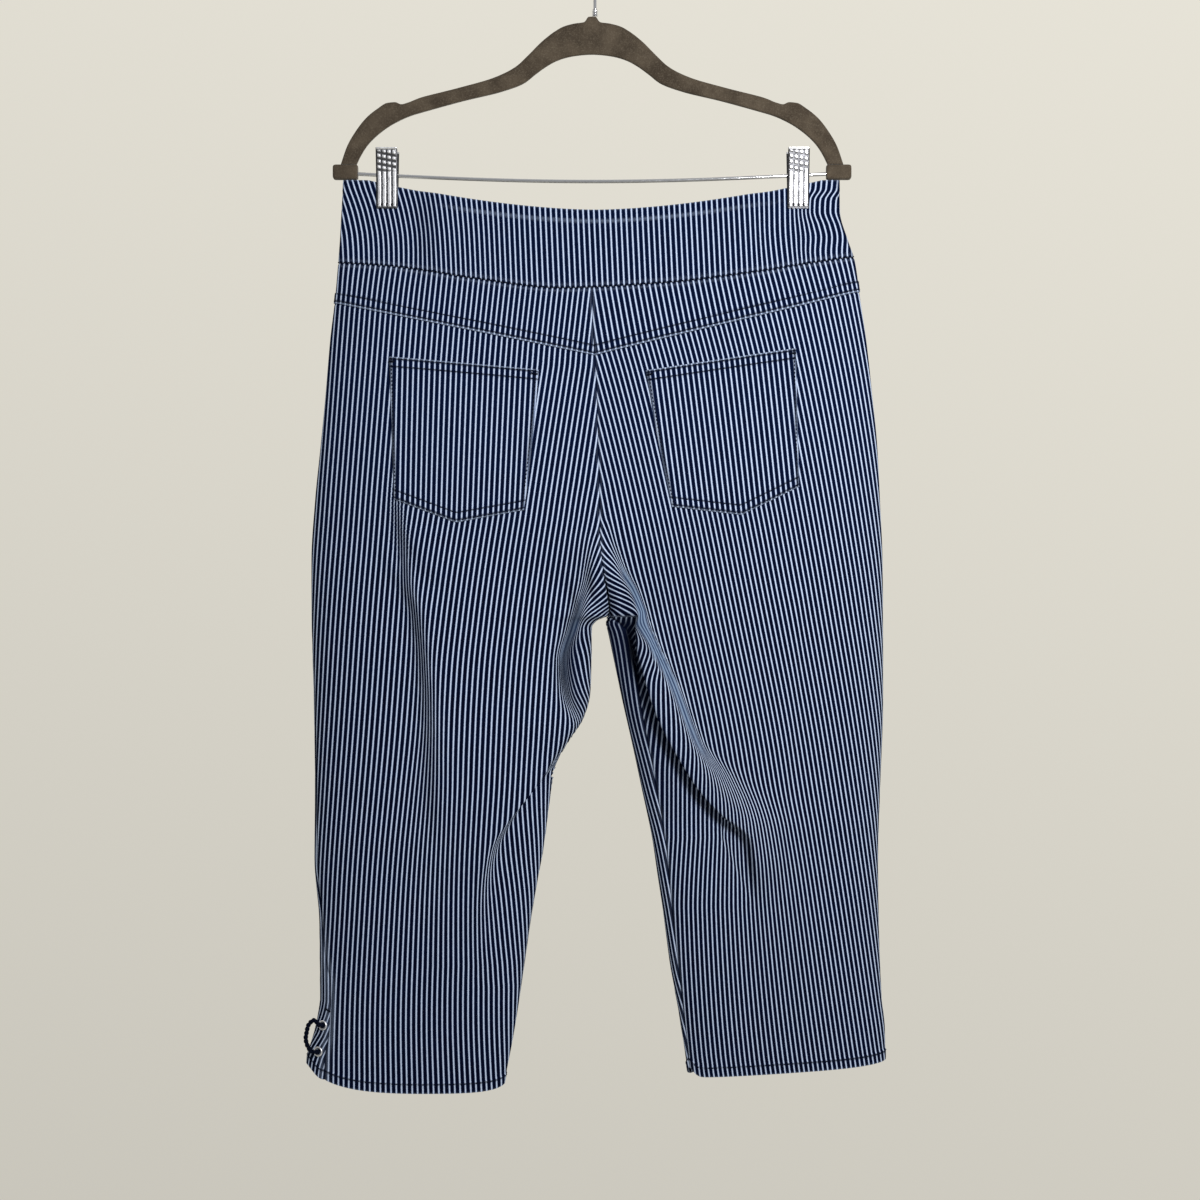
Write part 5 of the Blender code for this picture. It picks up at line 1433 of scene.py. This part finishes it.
def striped_denim():
    """Stretch denim with narrow white stripes, worn lighter along seams and edges, and darkened with
    painted shade where its dark attribute is set.
    """
    finish = Finish("striped_stretch_denim", roughness=0.9, specular_ior_level=0.04)
    uv = finish.add("UVMap", {}, uv_map="cloth").outputs["UV"]
    split = finish.add("SeparateXYZ", {0: uv})
    across, along = split.outputs["X"], split.outputs["Y"]
    slow = finish.noise(uv, 0.35, 3.0)
    quick = finish.noise(uv, 2.6, 3.0, 0.6)
    wobble = finish.times(finish.math("SUBTRACT", quick, 0.5), 0.10)
    place = finish.math("FRACT", finish.plus(across, wobble))
    from_middle = finish.math("ABSOLUTE", finish.math("SUBTRACT", place, 0.5))
    white = finish.ranged(from_middle, *WHITE_HALF, 1.0, 0.0)

    patchy = finish.ranged(slow, 0.35, 0.7)
    blueness = finish.plus(finish.times(finish.attribute("fade"), 0.55), finish.times(patchy, 0.35))
    navy = finish.mixed(blueness, colour(0.0002, 0.0010, 0.0095), colour(0.0006, 0.0040, 0.024))
    stretched = finish.add("CombineXYZ", {"X": finish.times(across, 5.0), "Y": finish.times(along, 1.6)})
    yarn = finish.noise(stretched.outputs[0], 4.0, 2.0, 0.6)
    bright = finish.mixed(finish.ranged(yarn, 0.3, 0.7), colour(0.46, 0.54, 0.69),
                          colour(0.62, 0.71, 0.86))
    blue = finish.ranged(from_middle, *BLUE_HALF, 1.0, 0.0)
    cloth = finish.mixed(white, finish.mixed(blue, navy, colour(0.032, 0.066, 0.17)), bright)
    hatch = finish.ranged(finish.math("SINE", finish.times(across, HATCH)), -0.8, 0.8)
    hatched = finish.mixed(hatch, colour(0.03, 0.055, 0.12), colour(0.22, 0.30, 0.43))
    cloth = finish.mixed(finish.attribute("gathered"), cloth, hatched)
    fleck = finish.ranged(finish.noise(uv, 9.0, 2.0, 0.7), 0.42, 0.62)
    worn = finish.times(finish.attribute("wear"), finish.plus(finish.times(fleck, 0.6), 0.3))
    cloth = finish.mixed(worn, cloth, colour(0.33, 0.41, 0.57))
    # painted shade: the dark attribute turns the cloth near black in seam ditches, stitch furrows,
    # creases and hollows
    cloth = finish.mixed(finish.attribute("dark"), cloth, colour(0.0008, 0.0028, 0.014))
    finish.set("Base Color", cloth)

    twill = finish.add("TexWave", {"Vector": uv, "Scale": 3.2, "Distortion": 0.6,
                                   "Detail": 1.0, "Detail Scale": 2.0},
                       bands_direction="DIAGONAL").outputs["Fac"]
    height = finish.plus(finish.times(twill, 0.5), finish.times(white, 0.6))
    finish.bump(finish.plus(height, finish.times(yarn, 0.5)), 0.00012, 0.7)
    return finish.material


def taupe_flock():
    """Short velvety flock over plastic, with lint in it."""
    finish = Finish("taupe_flock", roughness=0.95, sheen_weight=0.3, sheen_roughness=0.35,
                    sheen_tint=colour(0.95, 0.9, 0.82), specular_ior_level=0.1)
    place = finish.place()
    nap = finish.noise(place, 900.0, 3.0, 0.7)
    brushed = finish.noise(place, 45.0, 3.0, 0.6)
    body = finish.mixed(finish.ranged(brushed, 0.3, 0.72), colour(0.048, 0.036, 0.025),
                        colour(0.092, 0.071, 0.049))
    body = finish.mixed(finish.ranged(nap, 0.45, 0.8, 0.0, 0.6), body, colour(0.17, 0.14, 0.10))
    lint = finish.ranged(finish.noise(place, 2400.0, 1.0), 0.76, 0.84)
    finish.set("Base Color", finish.mixed(finish.times(lint, 0.6), body, colour(0.35, 0.33, 0.30)))
    finish.bump(nap, 0.0004, 0.6)
    return finish.material


def chrome(name, roughness):
    """Polished plating with fine scratches and a little haze, with painted shade that darkens it in the
    recesses.
    """
    finish = Finish(name, metallic=1.0)
    place = finish.place()
    haze = finish.noise(place, 220.0, 4.0, 0.65)
    stretched = finish.add("VectorMath", {0: place, 1: (900.0, 900.0, 60.0)},
                           operation="MULTIPLY").outputs[0]
    scratch = finish.noise(stretched, 1.0, 3.0, 0.7)
    bright = finish.mixed(haze, colour(0.84, 0.84, 0.86), colour(0.95, 0.95, 0.96))
    # painted shade: the plating turns dark where a jaw's relief is low, between its ribs and studs and
    # in its pits
    shade = finish.mixed(finish.attribute("painted_recess_shade"), bright, colour(0.09, 0.09, 0.095))
    finish.set("Base Color", shade)
    finish.set("Roughness", finish.ranged(haze, 0.3, 0.75, roughness * 0.8, roughness * 1.3))
    finish.bump(scratch, 0.00003, 0.5)
    return finish.material


def navy_yarn(name, roughness, scale):
    """Dark blue yarn: the lace's strands and the sewing thread."""
    finish = Finish(name, roughness=roughness, specular_ior_level=0.06)
    fibre = finish.noise(finish.place(), scale, 3.0, 0.7)
    finish.set("Base Color", finish.mixed(finish.ranged(fibre, 0.35, 0.75),
                                          colour(0.0006, 0.0012, 0.005), colour(0.003, 0.006, 0.02)))
    finish.bump(fibre, 0.0002, 0.5)
    return finish.material


def pale_floor():
    finish = Finish("pale_floor", roughness=0.7)
    cloudy = finish.noise(finish.place(), 3.0, 4.0)
    shade = finish.mixed(cloudy, colour(0.62, 0.61, 0.56), colour(0.70, 0.69, 0.64))
    finish.set("Base Color", shade)
    return finish.material


# ---------------------------------------------------------------- the studio

PHOTO_SIZE = 1200                    # pixels on each side of the photograph's frame
PIXEL = 0.86                         # millimetres to a pixel, in the middle plane of the pants
CAMERA_PLACE = (4.3, -1600.0, -589.1)
SENSOR = 36.0
WALL_LIGHT = colour(0.690, 0.665, 0.591)    # of the room beyond the garment
ROOM_LIGHT = colour(0.27, 0.275, 0.28)      # and on the camera's side
BRIGHTER_TOWARDS = (0.11, 0.0, 0.41)        # to the right and above there is more light
LAMP_PLACE, LAMP_TARGET = (0.42, -1.05, -0.22), (0.0, 0.0, -0.5)   # metres
LAMP_SIZE, LAMP_WATTS, LAMP_TINT = 0.34, 13.0, (0.98, 0.985, 1.0)
FLOOR_HEIGHT, FLOOR_RADIUS = -1750.0, 1300.0


def camera():
    """Level and square on to the back, at the photograph's distance and framing."""
    data = bpy.data.cameras.new("camera")
    data.sensor_width = SENSOR
    data.lens = SENSOR * -CAMERA_PLACE[1] / (PHOTO_SIZE * PIXEL)
    made = put("camera", data, Vector(CAMERA_PLACE) * MM)
    made.rotation_euler = (math.pi / 2, 0.0, 0.0)
    bpy.context.scene.camera = made


def soft_lamp():
    data = bpy.data.lights.new("soft_lamp", "AREA")
    data.shape = "DISK"
    data.size, data.energy, data.color = LAMP_SIZE, LAMP_WATTS, LAMP_TINT
    towards = Vector(LAMP_TARGET) - Vector(LAMP_PLACE)
    put("soft_lamp", data, LAMP_PLACE).rotation_euler = towards.to_track_quat("-Z", "Y").to_euler()


def studio():
    """A pale room: an even world, one soft lamp to the right of the camera, a floor."""
    world = bpy.data.worlds.new("pale_room")
    bpy.context.scene.world = world
    bpy.context.scene.view_settings.view_transform = "Standard"
    nodes = Nodes(world)
    direction = nodes.add("TexCoord", {}).outputs["Generated"]
    split = nodes.add("SeparateXYZ", {0: direction})
    beyond = nodes.ranged(split.outputs["Y"], -0.5, 0.6)
    towards = nodes.add("VectorMath", {0: direction, 1: BRIGHTER_TOWARDS}, operation="DOT_PRODUCT")
    background = nodes.tree.nodes["Background"]
    nodes.feed(background.inputs["Color"], nodes.mixed(beyond, ROOM_LIGHT, WALL_LIGHT))
    nodes.feed(background.inputs["Strength"], nodes.plus(towards.outputs["Value"], 1.0))
    soft_lamp()
    rim = [(FLOOR_RADIUS * math.cos(t) * MM, FLOOR_RADIUS * math.sin(t) * MM, FLOOR_HEIGHT * MM)
           for t in full_turn(96)]
    mesh = bpy.data.meshes.new("floor")
    mesh.from_pydata(rim, [], [tuple(range(len(rim)))])
    mesh.materials.append(pale_floor())
    put("floor", mesh)


# ---------------------------------------------------------------- the whole part


def garment():
    denim = striped_denim()
    thread = navy_yarn("navy_thread", 0.7, 3000.0)
    lines = {"hems": [], "waist_seam": [], "yokes": [], "pockets": []}
    tacks = {name: [] for name in lines}
    for face in ("back", "front"):
        piece, sewn = waistband(face, denim)
        lines["waist_seam"] += sewn
    for side in ("left", "right"):
        piece, sewn = yoke(side, denim)
        lines["yokes"] += sewn
        for face in ("back", "front"):
            piece, sewn = leg_panel(side, face, denim)
            lines["hems"] += sewn
        tacks["hems"] += vent_tack(side)
        piece, sewn = pocket(side, denim)
        lines["pockets"] += sewn
        opening, normal = sewn[0]
        for end, beyond in ((0, 1), (-1, -2)):
            along = unit(opening[beyond] - opening[end])
            corner = opening[end] + along * TACK_IN - np.array([0.0, 0.0, TACK_DOWN])
            tacks["pockets"] += bar_tack(corner, along, normal[end])
    for name, sewn in lines.items():
        sewing(f"stitches_{name}", sewn, thread, tacks[name])


def vent_trim():
    silver = chrome("eyelet_silver", 0.42)
    yarn = navy_yarn("navy_lace", 0.8, 1500.0)
    for side in ("left", "right"):
        places = vent_places(side)
        for name, place in places.items():
            eyelet(side, name, place, silver)
        lace(side, places, yarn)


def hanger():
    flock = taupe_flock()
    bright = chrome("bright_chrome", 0.12)
    plated = chrome("clip_plating", 0.4)
    for piece in (hanger_arch(flock), end_cap("left", flock), end_cap("right", flock)):
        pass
    metal = [hook(bright), hook_collar(bright), trouser_bar(bright)]
    for side in ("left", "right"):
        metal.append(clip_spring(side, bright))
        metal += [clip_jaw(side, face, plated) for face in ("back", "front")]


camera()
studio()
garment()
vent_trim()
hanger()
